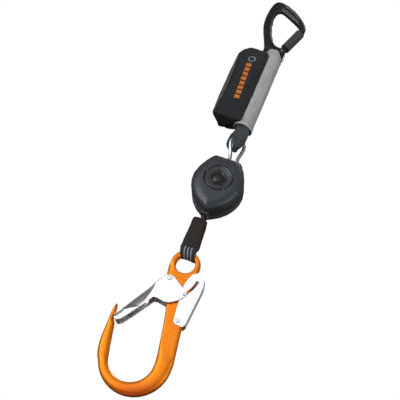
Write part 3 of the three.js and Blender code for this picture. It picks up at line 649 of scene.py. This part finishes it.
# ---- Scaffold hook
HOOK_OUTER = ([(31, -568), (32.6, -585), (36, -612), (41.5, -648), (47.6, -680), (52.4, -704)]
              + arc_points(-0.6, -716.8, 53.8, 5, -155, 40)
              + [(-54, -733), (-58.5, -721), (-61.4, -706), (-62.4, -690), (-63.4, -676),
                 (-64, -664), (-63.2, -655)])
HOOK_INNER = ([(-15.6, -568), (-13, -580), (-9, -592), (-4, -603.5), (1.5, -615.5), (8, -631),
               (13.6, -650), (19.6, -675), (25, -698), (27.2, -712)]
              + arc_points(-6.6, -718.2, 34.2, 352, 176, 36)
              + [(-41.6, -713), (-44.8, -704), (-48, -692), (-50.6, -680), (-51.5, -679),
                 (-57.2, -674.5), (-57.4, -667), (-58.8, -661), (-60.4, -654), (-62, -651)])
ARM_Z = (-738, -732, -723.5, -714, -704, -695.6, -688, -680, -675)
ARM_NUDGE = (-0.1, 0.5, 0.2, -2.1, -1.0, -1.2, -1.4, -2.0, 0.3)     # how far its inner edge moves right
BASKET_HALF, SHANK_HALF, SHANK_EDGE = 7.3, 6.6, 2.2
SECTION_PEAK, POWER_IN, POWER_OUT = 0.46, 2.8, 3.0


def hook_shape(p):
    """Rounds the basket's section and leaves the shank flat, with a slanting step between them."""
    out, inn = distance_to(p, HOOK_OUTER), distance_to(p, HOOK_INNER)
    t = between(inn, out)
    flat = ease(p[:, 2] + 0.35 * p[:, 0], -694, -676) * ease(p[:, 0], -20, 0)
    inner = t < SECTION_PEAK
    u = np.where(inner, (SECTION_PEAK - t) / SECTION_PEAK, (t - SECTION_PEAK) / (1 - SECTION_PEAK))
    power = np.where(inner, POWER_IN, POWER_OUT)
    rounded = np.maximum(1 - np.power(np.clip(u, 0, 0.999), power), 0.001)
    round_half = BASKET_HALF * np.power(rounded, 1 / power)
    flat_half = SHANK_HALF - SHANK_EDGE * np.power(np.clip(1 - np.minimum(inn, out) / 3.0, 0, 1), 2)
    half = round_half * (1 - flat) + flat_half * flat
    low = ease(p[:, 2], -744, -732) * (1 - ease(p[:, 2], -676, -668)) * (p[:, 0] < -25)
    q = p.copy()
    q[:, 0] += np.interp(p[:, 2], ARM_Z, ARM_NUDGE) * np.clip(1 - t / 0.9, 0, 1) * low
    q[:, 1] = set_half(p, half, True)
    grow = (1 - flat) * ease(np.abs(p[:, 1]) / 7.0, 0.6, 1.0)
    q[:, 1] = q[:, 1] * (1 - grow) + np.sign(p[:, 1]) * half * grow
    return q


hook = forged("hook_body_forged", "hook_body", 0.75, 9, hook_shape)
finish_piece(hook, "hook", ORANGE, ["hook_body"])

GATE_SPINE = [(-10.6, -583.5), (-20.6, -599.6), (-28.8, -613), (-45.6, -644.3), (-51, -660.5),
              (-56.2, -668.6)]
GATE_HALF = 9.0


def gate_shape(p):
    """Rolls the pressed gate's narrow arm over its spine, tighter toward the tip."""
    along = ease(-p[:, 2], 596, 616) * ease(-p[:, 0], 14, 26)
    tip = ease(-p[:, 2], 644, 658)
    bend = 1.2 + along * (16.5 - 10.5 * tip)
    deep = 1.2 + along * (6.2 - 5.0 * tip)
    inside = np.clip((bend - distance_to(p, GATE_SPINE)) / bend, 0, 1)
    drop = deep * inside ** (2.4 - 0.8 * along)
    side, high = np.sign(p[:, 1]), np.abs(p[:, 1])
    q = p.copy()
    q[:, 1] = side * np.where(high > GATE_HALF, high - drop, high * (1 - drop / GATE_HALF))
    return q


gate = forged("gate_pressed", "hook_gate", 0.42, 5, gate_shape)
finish_piece(gate, "gate", BRIGHT, ["hook_gate"])
soften("lock_lever", 0.55, 3)
for name in ("hook_gate_rivet", "lock_lever_rivet", "gate_tail_stud_front", "gate_tail_stud_rear"):
    soften(name, 0.45, 3)


# ---- Carabiner
CARABINER_OUTER = [(24.8, -37), (21.5, -28.5), (15, -20), (8, -13), (-6, -1), (-23, 8.5), (-38, 13),
                   (-45, 12.3), (-50, 8), (-53.2, -2), (-55, -23), (-53.2, -48), (-47, -68),
                   (-38, -89), (-33.4, -101)]
CARABINER_INNER = [(-8, -95.6), (-14, -93.5), (-19, -88.5), (-22, -83), (-29, -70), (-35, -51),
                   (-38, -34), (-38.2, -24), (-36.5, -14.5), (-32.5, -11.2), (-27, -12),
                   (-16, -18.5), (-2, -26.5), (8, -33.5), (12.2, -38)]
FRAME_HALF, FRAME_POWER, PANEL_DEPTH = 6.3, 2.6, 1.5


def carabiner_shape(p):
    """Rounds the frame's section and sinks a long panel into the flanks of its top arm."""
    t = between(distance_to(p, CARABINER_INNER), distance_to(p, CARABINER_OUTER))
    u = np.clip(np.abs(2 * t - 1), 0, 0.999)
    half = FRAME_HALF * np.power(np.maximum(1 - np.power(u, FRAME_POWER), 0.001), 1 / FRAME_POWER)
    panel = (ease(t, 0.26, 0.36) * (1 - ease(t, 0.64, 0.74)) * ease(p[:, 0], -36, -26)
             * (1 - ease(p[:, 0], 6, 12)) * ease(p[:, 2], -36, -30))
    q = p.copy()
    q[:, 1] = set_half(p, half, ease(p[:, 2], -90, -80) > 0.5)
    q[:, 1] -= np.sign(q[:, 1]) * PANEL_DEPTH * panel * ease(np.abs(q[:, 1]), 3.0, 4.5)
    return q


carabiner = forged("carabiner_forged", "carabiner_body", 0.65, 7, carabiner_shape)
finish_piece(carabiner, "carabiner", BLACK_ALLOY, ["carabiner_body"])
soften("carabiner_gate", 0.5, 2, 50)
soften("lock_barrel", 0.25, 2, 40)
nodes["lock_barrel"].data.materials[0] = BARREL_ALLOY


# ---- Housing
HUB = (0.0, -404.0)
CASE_HALF = [(0, -463.5), (9, -458.5), (20, -451.5), (30.5, -441), (37.4, -429.5), (41.3, -418),
             (42.3, -405), (39, -390), (32, -375), (24.5, -363.5), (20, -361), (0, -361)]
CASE_OUTLINE = CASE_HALF + [(-x, z) for x, z in reversed(CASE_HALF[1:-1])]
CASE_STEPS = 288
FACE, WALL = 23.0, 2.0        # the face's distance from the middle plane, and the wall
FLAT_R = 25.0                 # the flat middle of the face ends here
BRIDGES = (22, 94, 166, 238, 310)
FRONT_WALL = [(12.2, 0.0), (11.5, 0.05), (11.2, 0.75), (10.6, 0.75), (10.3, 0.05), (9.0, 0.0),
              (8.3, 0.25), (8.0, 0.7)]
REAR_WALL = [(18.4, 0.0), (17.6, 0.05), (17.2, 1.0), (15.9, 1.0), (15.5, 0.05), (13.2, 0.0),
             (12.8, 1.0), (11.5, 1.0), (11.1, 0.05), (8.4, 0.0), (8.0, 0.7)]


def rim_radius(angle):
    """Distance from the hub to the case outline in one direction."""
    d = np.array([math.cos(angle), math.sin(angle)])
    best = 0.0
    line = CASE_OUTLINE + [CASE_OUTLINE[0]]
    for (x0, z0), (x1, z1) in zip(line[:-1], line[1:]):
        a = np.array([x0 - HUB[0], z0 - HUB[1]])
        e = np.array([x1 - x0, z1 - z0])
        det = d[0] * -e[1] + d[1] * e[0]
        if abs(det) < 1e-9:
            continue
        r = (a[0] * -e[1] + a[1] * e[0]) / det
        s = (d[0] * a[1] - d[1] * a[0]) / det
        if -1e-6 <= s <= 1 + 1e-6 and r > best:
            best = r
    return best


def from_nozzle(angle):
    """The angle between a direction from the hub and straight down."""
    return abs(math.remainder(angle + math.pi / 2, math.tau))


def from_nearest(angles, marks):
    """Degrees from each angle to the nearest of some marks."""
    return np.array([min(abs(math.remainder(math.degrees(a) - m, 360)) for m in marks) for a in angles])


def rim_table(steps):
    """Directions round the hub and the distance to the rim in each, smoothed except at the nozzle."""
    angles = [math.tau * k / steps - math.pi / 2 for k in range(steps)]
    raw = np.array([rim_radius(a) for a in angles])
    tip = np.array([from_nozzle(a) < 0.09 for a in angles])
    soft = raw.copy()
    for _ in range(4):
        soft = (np.roll(soft, 1) + 2 * soft + np.roll(soft, -1)) / 4
    return angles, np.where(tip, raw, soft)


def hub_ring(angles, radius, y):
    """A ring about the hub's axis; radius and y are one number, or one for each angle."""
    radius, y = np.broadcast_to(radius, len(angles)), np.broadcast_to(y, len(angles))
    return [(HUB[0] + r * math.cos(a), d, HUB[1] + r * math.sin(a)) for a, r, d in zip(angles, radius, y)]


def cover(name, side, dome, edge, wall, dished):
    """A moulded half shell. side -1 is the front; dome is how wide the crowned margin is."""
    angles, rims = rim_table(CASE_STEPS)
    groove = 2.3 * ease(from_nearest(angles, BRIDGES), 3.4, 5.2)
    rings = []
    for r in (6, 11, 14.2, 14.8, 17, 19.6, 20.4, 21.3, 21.7, 22.1, 23.2, 24.1, 24.5, FLAT_R):
        depth = 1.6 if r < 14.5 else 0.9 if r < 20.2 else groove if 22.0 < r < 24.2 else 0.0
        rings.append(hub_ring(angles, r, side * (FACE - (depth if dished else 0.0))))
    for m in np.linspace(0, 1, 26)[1:]:
        r = FLAT_R + (rims - FLAT_R) * (1 - (1 - m) ** 1.35)
        u = np.clip((rims - r) / dome, 0, 1)
        drop = (FACE - edge) * (1 - (1 - (1 - u) ** 2.1) ** (1 / 2.1))
        rings.append(hub_ring(angles, r, side * (FACE - drop)))
    reach = np.array([from_nozzle(a) for a in angles]) * rims
    notch = 3.4 * (1 - ease(reach, 2.2, 3.4)) * (side < 0)
    for y, inset in wall:
        rings.append(hub_ring(angles, rims - inset - notch * (y < 12), side * y))
    for y, inset in ((8.0, WALL + 3.2), (9.2, WALL + 3.2), (FACE - 9.0, WALL + 4.0),
                     (FACE - 3.2, dome * 0.75), (FACE - 2.6, dome)):
        rings.append(hub_ring(angles, rims - inset, side * y))
    rings.append(hub_ring(angles, 12, side * (FACE - 2.6)))
    outside = (HUB[0], side * (FACE - (1.6 if dished else 0)), HUB[1])
    return fan_ended(name, rings, outside, (HUB[0], side * (FACE - 2.6), HUB[1]))


front = cover("housing_front_shell", -1, 19.0, 12.6, FRONT_WALL, True)
finish_piece(front, "housing", CASING_FRONT, ["housing_front_cover"])
rear = cover("housing_rear_shell", 1, 7.0, 18.8, REAR_WALL, False)
finish_piece(rear, "housing", CASING, ["housing_rear_cover"])
soften("housing_band", 0.4, 2, 30)
soften("line_nozzle", 0.5, 2, 30)


def hub_badge():
    """A plain dark boss in the dish: a shallow dome with three blind finger slots round it."""
    angles = [math.tau * k / 96 for k in range(96)]
    dip = 0.9 * (1 - ease(from_nearest(angles, (30, 150, 270)), 17, 24))
    top, base, outer = 23.25, 21.42, 13.8
    profile = [(3.0, 23.2), (6.0, 22.9), (8.2, 22.4), (8.8, 21.9), (9.6, 21.7), (10.2, 22.1), (12.4, 22.3),
               (13.4, 22.1), (outer, 21.5)]
    rings = [hub_ring(angles, r, -(y - dip * (10.4 < r < 13.2))) for r, y in profile]
    rings.append(hub_ring(angles, outer, -base))
    return fan_ended("hub_badge", rings, (HUB[0], -top, HUB[1]), (HUB[0], -base, HUB[1]))


finish_piece(hub_badge(), "housing", GLOSS_DARK, ["hub_cap"])


# ---- Absorber pouch
SLEEVE = dict(x=-8.2, a=15.7, b=15.0, top=-124.5, bottom=-288.0)
POUCH_LOW, POUCH_HIGH = (-66.2, -21.0, -285.0), (-13.5, 20.0, -128.5)


def rounded_block(name, lo, hi, radius, cell):
    """A block of even quads with round edges, in load-line millimetres."""
    lo, hi = np.array(lo, float), np.array(hi, float)
    size = hi - lo
    n = [max(3, int(round(s / cell))) for s in size]
    index, verts, faces = {}, [], []

    def vert(i, j, k):
        key = (i, j, k)
        if key not in index:
            p = lo + size * np.array([i / n[0], j / n[1], k / n[2]])
            inner = np.clip(p, lo + radius, hi - radius)
            out = p - inner
            length = np.linalg.norm(out)
            if length > 1e-9:
                p = inner + out / length * radius
            index[key] = len(verts)
            verts.append(p)
        return index[key]

    for axis in range(3):
        u, v = (axis + 1) % 3, (axis + 2) % 3
        for end in (0, n[axis]):
            for i in range(n[u]):
                for j in range(n[v]):
                    corner = []
                    for di, dj in ((0, 0), (1, 0), (1, 1), (0, 1)):
                        key = [0, 0, 0]
                        key[axis], key[u], key[v] = end, i + di, j + dj
                        corner.append(vert(*key))
                    faces.append(tuple(corner))
    return link_mesh(name, [at(*p) for p in verts], faces)


def swell(obj, pressure, frames, cap):
    """Blows a closed cloth form up a little and keeps each point within cap millimetres."""
    rest = mesh_points(obj)
    mod = obj.modifiers.new("cloth", "CLOTH")
    mod.settings.quality = 6
    mod.settings.use_pressure = True
    mod.settings.uniform_pressure_force = pressure
    mod.settings.effector_weights.gravity = 0
    mod.settings.tension_stiffness = 22
    mod.settings.compression_stiffness = 22
    mod.settings.bending_stiffness = 0.6
    mod.point_cache.frame_start, mod.point_cache.frame_end = 1, frames
    for f in range(1, frames + 1):
        bpy.context.scene.frame_set(f)
    apply_modifiers(obj)
    bpy.context.scene.frame_set(1)
    now = mesh_points(obj)
    move = now - rest
    far = np.linalg.norm(move, axis=1)[:, None]
    put_points(obj, rest + move * np.minimum(1, cap / np.maximum(far, 1e-6)))


def fold(p, centre, way, width, depth, reach):
    """A crease line: how far points near a line through centre, running along way, sink in."""
    d = np.array(way, float) / np.linalg.norm(way)
    q = p - np.array(centre, float)
    along = q @ d
    across = np.linalg.norm(q - along[:, None] * d, axis=1)
    return depth * np.exp(-(across / width) ** 2) * np.exp(-(along / reach) ** 2)


CREASES = (                   # centre, direction, width, depth, reach
    ((-60, -18, -150), (1, 0.2, -0.5), 2.6, 2.2, 9), ((-50, -21, -146), (0.9, 0, -0.8), 2.6, 1.9, 11),
    ((-32, -21, -143), (0.3, 0, -1), 3.0, 1.5, 10), ((-24, -20, -147), (-0.4, 0, -1), 2.4, 1.6, 11),
    ((-42, -21, -160), (1, 0, 0.12), 2.6, 1.0, 15), ((-62, -10, -145), (0.2, 1, -0.4), 2.6, 1.7, 9),
    ((-58, -21, -276), (1, 0, 0.7), 2.6, 1.9, 10), ((-30, -21, -272), (1, 0, -0.35), 2.6, 1.6, 12),
    ((-46, -10, -285), (1, 0.4, 0), 3.0, 2.4, 14), ((-30, 6, -285), (1, -0.5, 0), 3.0, 2.4, 14),
    ((-22, -14, -280), (0.5, 1, 0.3), 2.4, 1.8, 10), ((-48, 12, -284), (0.8, 0.7, 0), 2.4, 1.7, 10),
    ((-40, -21, -225), (0.15, 0, 1), 7.0, 0.8, 45))


def slump(p):
    """The sewn form before it is filled: a domed top, and a foot tucked up at its left and rear."""
    lift = ease(p[:, 2], POUCH_HIGH[2] - 26, POUCH_HIGH[2])
    p[:, 2] += lift * (5.0 * np.clip(1 - ((p[:, 0] + 38) / 26) ** 2, 0, 1) - 9.0 * ease(-p[:, 0], 50, 68)
                       - 3.0 * ease(p[:, 1], 0, 21))
    p[:, 0] += 1.6 * ease(-p[:, 2], 200, 290) * ease(-p[:, 0], 30, 64)
    p[:, 0] += 9.0 * ease(-p[:, 2], 262, 288) * ease(p[:, 1], -16, 20) * ease(-p[:, 0], 42, 66)
    p[:, 2] += 6.0 * ease(-p[:, 2], 270, 288) * ease(p[:, 1], 4, 21) * ease(p[:, 0], -40, -18)
    return p


def wrinkle(p):
    """Fine folds at both ends and the creases, along lines from the middle of the pouch."""
    way = (p - np.array([-38.0, -1.0, -212.0])) / np.array([26.0, 20.0, 74.0])
    way /= np.linalg.norm(way, axis=1)[:, None]
    ends = ease(p[:, 2], -165, -140) + ease(-p[:, 2], 262, 284)
    sink = np.zeros(len(p))
    for i, (x, y, z) in enumerate(p):
        fine = noise.noise(Vector((x / 9, y / 9, z / 16)))
        ridge = abs(noise.noise(Vector((x / 13 + 3, y / 11, z / 22 + 7))))
        sink[i] = 0.35 * fine + ends[i] * (0.9 * fine - 1.9 * (0.35 - ridge))
    for crease in CREASES:
        sink -= fold(p, *crease)
    return p + way * sink[:, None]


def clear_of_sleeve(p):
    """Presses the pouch's right side against the cover beside it."""
    x, a, b = SLEEVE["x"], SLEEVE["a"] + 0.9, SLEEVE["b"] + 0.9
    e = np.sqrt(((p[:, 0] - x) / a) ** 2 + (p[:, 1] / b) ** 2)
    grow = np.where(e < 1, 1 / np.maximum(e, 1e-3), 1.0)
    p[:, 0] = np.minimum(x + (p[:, 0] - x) * grow, x - 0.5)
    p[:, 1] = p[:, 1] * grow
    return p


def make_pouch():
    obj = rounded_block("absorber_pouch_soft", POUCH_LOW, POUCH_HIGH, 5.0, 3.6)
    put_points(obj, slump(mesh_points(obj)))
    swell(obj, 4.0, 20, 3.6)
    modify(obj, "SUBSURF", levels=1, render_levels=1)
    apply_modifiers(obj)
    p = clear_of_sleeve(wrinkle(mesh_points(obj)))
    put_points(obj, np.array([lean(q) for q in p]))
    return obj


def skin_from(obj, name, keep, lift, thick):
    """A separate layer of cloth lying on part of a piece: its faces that keep() picks, raised by lift."""
    bm = bmesh.new()
    bm.from_mesh(obj.data)
    drop = [f for f in bm.faces if not keep(np.array(f.calc_center_median()) / MM + ORIGIN)]
    bmesh.ops.delete(bm, geom=drop, context="FACES")
    bmesh.ops.smooth_vert(bm, verts=[v for v in bm.verts if v.is_boundary], factor=0.5,
                          use_axis_x=True, use_axis_y=True, use_axis_z=True)
    bm.normal_update()
    for v in bm.verts:
        v.co += v.normal * lift * MM
    skin = from_bmesh(name, bm)
    modify(skin, "SOLIDIFY", thickness=thick * MM, offset=0)
    apply_modifiers(skin)
    smooth_faces(skin.data)
    return skin


def on_front(obj, x, z):
    """The point and normal where a ray from the front meets a piece, in load-line millimetres."""
    _, place, normal, _ = obj.ray_cast(at(x, -60.0, z), Vector((0, 1, 0)))
    return np.array(place) / MM + ORIGIN, np.array(normal)


PRINT_LIFT, PRINT_THICK, PRINT_SINK = 0.35, 0.25, 0.15


def applique(name, obj, outline_rows):
    """A thin patch laid on a piece's front: rows of (x, z) points, each cast onto the cloth below."""
    rings = []
    for row in outline_rows:
        hits = [on_front(obj, x, z) for x, z in row]
        rings.append([place + normal * (PRINT_LIFT + PRINT_THICK) for place, normal in hits]
                     + [place + normal * (PRINT_LIFT - PRINT_SINK) for place, normal in hits[::-1]])
    return loft(name, rings)


def ring_applique(name, obj, cx, cz, r_in, r_out, steps=56):
    """A thin flat ring laid on a piece's front."""
    low, high = PRINT_LIFT - PRINT_SINK, PRINT_LIFT + PRINT_THICK
    rings = []
    for r, lift in ((r_out, low), (r_out, high), (r_in, high), (r_in, low)):
        ring = []
        for k in range(steps):
            a = math.tau * k / steps
            place, normal = on_front(obj, cx + r * math.cos(a), cz + r * math.sin(a))
            ring.append(tuple(place + normal * lift))
        rings.append(ring)
    return loft(name, rings, closed=True)


def stitches(name, points, length, gap, radius, turn=lambda p: p):
    """A row of short thread stitches along a path of load-line points, as one mesh."""
    line = np.array(points, float)
    walked = walked_along(line)
    sides, verts, faces = 6, [], []
    shares, swells = (0, 0.2, 0.5, 0.8, 1), (0.35, 0.85, 1, 0.85, 0.35)
    start = 0.0
    while start + length < walked[-1]:
        pts = [np.array([np.interp(start + length * f, walked, column) for column in line.T])
               for f in shares]
        d = pts[-1] - pts[0]
        d /= np.linalg.norm(d)
        side = np.cross(d, (0.31, 0.17, 0.93))
        side /= np.linalg.norm(side)
        other = np.cross(d, side)
        base = len(verts)
        for q, s in zip(pts, swells):
            for a in np.linspace(0, math.tau, sides, endpoint=False):
                verts.append(at(*turn(q + radius * s * (math.cos(a) * side + math.sin(a) * other))))
        faces += ring_quads(len(pts), sides, base)
        faces.append(tuple(range(base, base + sides))[::-1])
        faces.append(tuple(range(len(verts) - sides, len(verts))))
        start += length + gap
    return link_mesh(name, verts, faces)


pouch = make_pouch()
finish_piece(pouch, "absorber", BLACK_CLOTH, ["absorber_pouch"])
SEAM = ((-279, -249, -220, -185, -153, -143), (-62.4, -59.4, -59.6, -60.9, -62.8, -64.5))   # z, x


def on_side(centre):
    """True left of the seam and short of the pouch's ends and rear."""
    x, y, z = lean(centre, -LEAN)
    return x < np.interp(z, *SEAM) and -279 < z < -143 and y < 14


side_panel = skin_from(pouch, "pouch_side_soft", on_side, 0.55, 0.7)
finish_piece(side_panel, "absorber", PALE_CLOTH, ["pouch_side_panel"])


def seam_row(right, z0, z1, count, lift):
    """Points on the pouch's front, this far right of the seam."""
    rows = []
    for z in np.linspace(z0, z1, count):
        x, _, z_leant = lean((np.interp(z, *SEAM) + right, 0, z))
        place, normal = on_front(pouch, x, z_leant)
        rows.append(place + normal * lift)
    return rows


seam_thread = stitches("pouch_seam_stitches", seam_row(1.7, -152, -277, 60, 0.45), 2.4, 1.4, 0.25)
finish_piece(seam_thread, "absorber", DARK_THREAD)

PRINT_TOP, PRINT_END, PRINT_HALF = np.array((-37.6, -167.5)), np.array((-30.6, -250.0)), 4.6
BLOCKS, BLOCK_SHARE = 8, 0.72


def print_block(i):
    """One plain block of the printed band."""
    way = (PRINT_END - PRINT_TOP) / np.linalg.norm(PRINT_END - PRINT_TOP)
    side = np.array([-way[1], way[0]])
    rows = []
    for f in np.linspace(i / BLOCKS, (i + BLOCK_SHARE) / BLOCKS, 5):
        middle = PRINT_TOP + (PRINT_END - PRINT_TOP) * f
        rows.append([tuple(middle + side * PRINT_HALF * g) for g in np.linspace(-1, 1, 6)])
    return applique(f"bar_{i}", pouch, rows)


badge = ring_applique("pouch_ring_print", pouch, -36.6, -156.5, 4.6, 6.9)
finish_piece(badge, "absorber", GREY_PRINT, ["pouch_round_patch"])
bars = join("pouch_stripe_print", [print_block(i) for i in range(BLOCKS)])
finish_piece(bars, "absorber", ORANGE_PRINT, ["pouch_stripe_patch"])


# ---- Absorber sleeve
def sleeve_top(a):
    """The sleeve's upper edge runs higher over the front."""
    return SLEEVE["top"] + 10.6 * math.exp(-math.remainder(a + 1.75, math.tau) ** 4)


def sleeve_bottom(a):
    return SLEEVE["bottom"] - 0.5 - 1.6 * math.cos(a - 0.3)


def sleeve_point(a, s, out):
    """A point on the cover: a round the oval, s from foot to top, out from the face."""
    z = sleeve_bottom(a) + (sleeve_top(a) - sleeve_bottom(a)) * s
    soft = noise.noise(Vector((math.cos(a) * 1.4, math.sin(a) * 1.4, z / 34)))
    pleat = noise.noise(Vector((math.cos(a) * 2.6 + 9, math.sin(a) * 2.6, z / 90)))
    flat_side = 0.9 * math.exp(-((z + 205) / 60) ** 2) * math.sin(a * 2 + 0.6)
    mouth = 0.9 * math.exp(-(s / 0.05) ** 2) + 0.5 * math.exp(-((1 - s) / 0.05) ** 2)
    hem = 0.28 * (1 if s < 0.05 or s > 0.965 else 0)
    r = 0.5 * soft + 0.45 * pleat + flat_side + mouth + hem + out
    return (SLEEVE["x"] + (SLEEVE["a"] + r) * math.cos(a), (SLEEVE["b"] + r) * math.sin(a), z)


def sleeve_ring(s, out, rise=0.0):
    around = 112
    points = [sleeve_point(math.tau * k / around, s, out) for k in range(around)]
    return [(x, y, z + rise) for x, y, z in points]


def make_sleeve():
    """An oval tube of cloth with rolled lips: up its outside and down its inside."""
    spans = ((0, 0.045, 6), (0.052, 0.955, 96), (0.965, 1, 6))
    steps = np.concatenate([np.linspace(*span) for span in spans])
    rings = [sleeve_ring(s, 0.0) for s in steps] + [sleeve_ring(1.0, -0.5, 0.45)]
    rings += [sleeve_ring(s, -1.0) for s in steps[::-1]] + [sleeve_ring(0.0, -0.5, -0.45)]
    return loft("absorber_sleeve_soft", rings, closed=True, turn=lean)


sleeve = make_sleeve()
finish_piece(sleeve, "absorber", GREY_CLOTH, ["absorber_sleeve"])
HEMS = (0.036, 0.052, 0.968)


def hem(s):
    """A row of stitches round the cover, at a share of its height."""
    around = [sleeve_point(a, s, 0.12) for a in np.linspace(0, math.tau, 120)]
    return stitches("hem", around, 2.2, 1.2, 0.24, turn=lean)


hems = join("sleeve_hem_stitches", [hem(s) for s in HEMS])
finish_piece(hems, "absorber", THREAD)


# ---- Webbing under the absorber
def lower_loop():
    """The strap folded lengthwise: down at the front, round the bow and up at the rear."""
    front = [(-2.0, -8.0, -262), (-2.0, -9.0, -285), (-0.5, -11.6, -300), (2.0, -12.8, -312),
             (3.6, -11.4, -321.5), (1.6, -8.2, -328.4), (-0.4, -1.4, -331.4)]
    rear = [(-1.2, 4.6, -330.2), (-6.0, 9.0, -327), (-13.0, 10.2, -317), (-11.5, 9.6, -302),
            (-5.0, 8.4, -284), (-2.0, 8.0, -262)]
    line = smooth_line(front + rear, 96)
    half = ((0, 0.2, 0.27, 0.33, 0.39, 0.43, 0.47, 0.51, 0.55, 0.63, 0.75, 1),
            (9.5, 11.2, 12.9, 11.8, 9.2, 6.8, 5.0, 4.2, 4.4, 7.6, 10.0, 9.5))
    crown = ((0, 0.16, 0.25, 0.36, 0.46, 0.56, 1), (-0.8, -1.2, -3.0, -4.5, -3.0, -1.0, -0.8))
    return strap("absorber_strap_lower", line, (1, 0, 0), half, 2.4, crown, 40)


finish_piece(lower_loop(), "absorber", SLATE_WEB, ["absorber_webbing_lower"])


# ---- Shackle
def leg_shift(z):
    """How far both legs lean to the right where they enter the housing, mm."""
    return np.interp(z, (-350, -322), (4.4, 0.0))


def shackle():
    """A bent wire bow, turned a little about the load line, its left leg nearer the viewer."""
    half = [(6.3, -369.5), (6.3, -360), (6.8, -350), (8.4, -341), (11.4, -331), (13.2, -321), (11.2, -314.2),
            (6.2, -311.2), (0, -310.8)]
    turn = math.radians(30)
    path = half + [(-x, z) for x, z in reversed(half[:-1])]
    pts = [(x * math.cos(turn) + leg_shift(z), x * math.sin(turn), z) for x, z in path]
    return tube("shackle_bow_wire", pts, 3.1, 110, 20)


finish_piece(shackle(), "housing", STEEL_WIRE, ["shackle_bow"])
for name in ("shackle_yoke", "yoke_pin"):
    soften(name, 0.4, 2, 40)


# ---- Line end
def wear_sleeve():
    """The coarse textile cover over the sewn line end, with round shoulders."""
    top, bottom = -473.2, -530.6
    around, rings = 72, []
    for s in np.linspace(0, 1, 64):
        z = top + (bottom - top) * s
        slide = -2.2 * (1 - s)
        round_off = math.sqrt(max(1 - (1 - min(s / 0.075, 1.0)) ** 2, 0.0))
        left = -12.6 + (1 - round_off) * 5.5 + 0.3 * math.sin(s * 5)
        right = 11.4 + 4.2 * ease(s, 0.1, 1.0) - (1 - round_off) * 4.5
        thick = 6.2 * (0.62 + 0.38 * round_off) + 0.5 * math.sin(math.pi * s)
        ring = []
        for k in range(around):
            c, q = math.cos(math.tau * k / around), math.sin(math.tau * k / around)
            x = (left + right) / 2 + (right - left) / 2 * math.copysign(abs(c) ** 0.62, c)
            y = thick * math.copysign(abs(q) ** 0.8, q)
            bump = 0.45 * noise.noise(Vector((x / 6, y / 6, z / 8)))
            slant = 5.0 * ease(s, 0.5, 1.0) * (x + 12.6) / 28
            ring.append((x + slide + bump * c, y + bump * q, z + slant))
        rings.append(ring)
    return loft("wear_sleeve", rings)


finish_piece(wear_sleeve(), "line_end", BROWN_CLOTH, ["end_sleeve"])
edge_band = tube("wear_sleeve_edge", [(8.8, -2.0, -476.5), (11.4, -2.4, -490), (13.4, -2.4, -508),
                                      (15.4, -2.4, -524.5)], 1.5, 60, 12)
finish_piece(edge_band, "line_end", DARK_CLOTH)


def eye_loop():
    """Striped webbing through the hook's eye, bunched between its cheeks."""
    x = 1.5
    front = [(x, -3.5, -524), (x, -6.8, -530.5), (x + 1.0, -9.9, -536), (x + 3.0, -9.4, -541.5),
             (x + 4.4, -4.6, -545.6)]
    rear = [(across, -y, z) for across, y, z in front[::-1]]
    line = smooth_line(front + [(x + 4.9, 0, -546.4)] + rear, 90)
    half = ((0, 0.18, 0.35, 0.5, 0.65, 0.82, 1), (12.0, 11.8, 11.2, 10.4, 11.2, 11.8, 12.0))
    crown = ((0, 0.3, 0.5, 0.7, 1), (0.6, 1.2, 1.6, 1.2, 0.6))
    return strap("eye_strap", line, (1, 0, 0), half, 2.6, crown, 48)


eye = eye_loop()
eye.data.materials.append(LINE_WEB)
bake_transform(eye)
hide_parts("end_loop")

run = strap("lifeline_run", [(0, 0, z) for z in np.linspace(-452, -475, 60)], (0, 1, 0), 8.5, 1.15, 0,
            20, power=6.0)
run.data.materials.append(LINE_WEB)
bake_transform(run)
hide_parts("lifeline_strip")
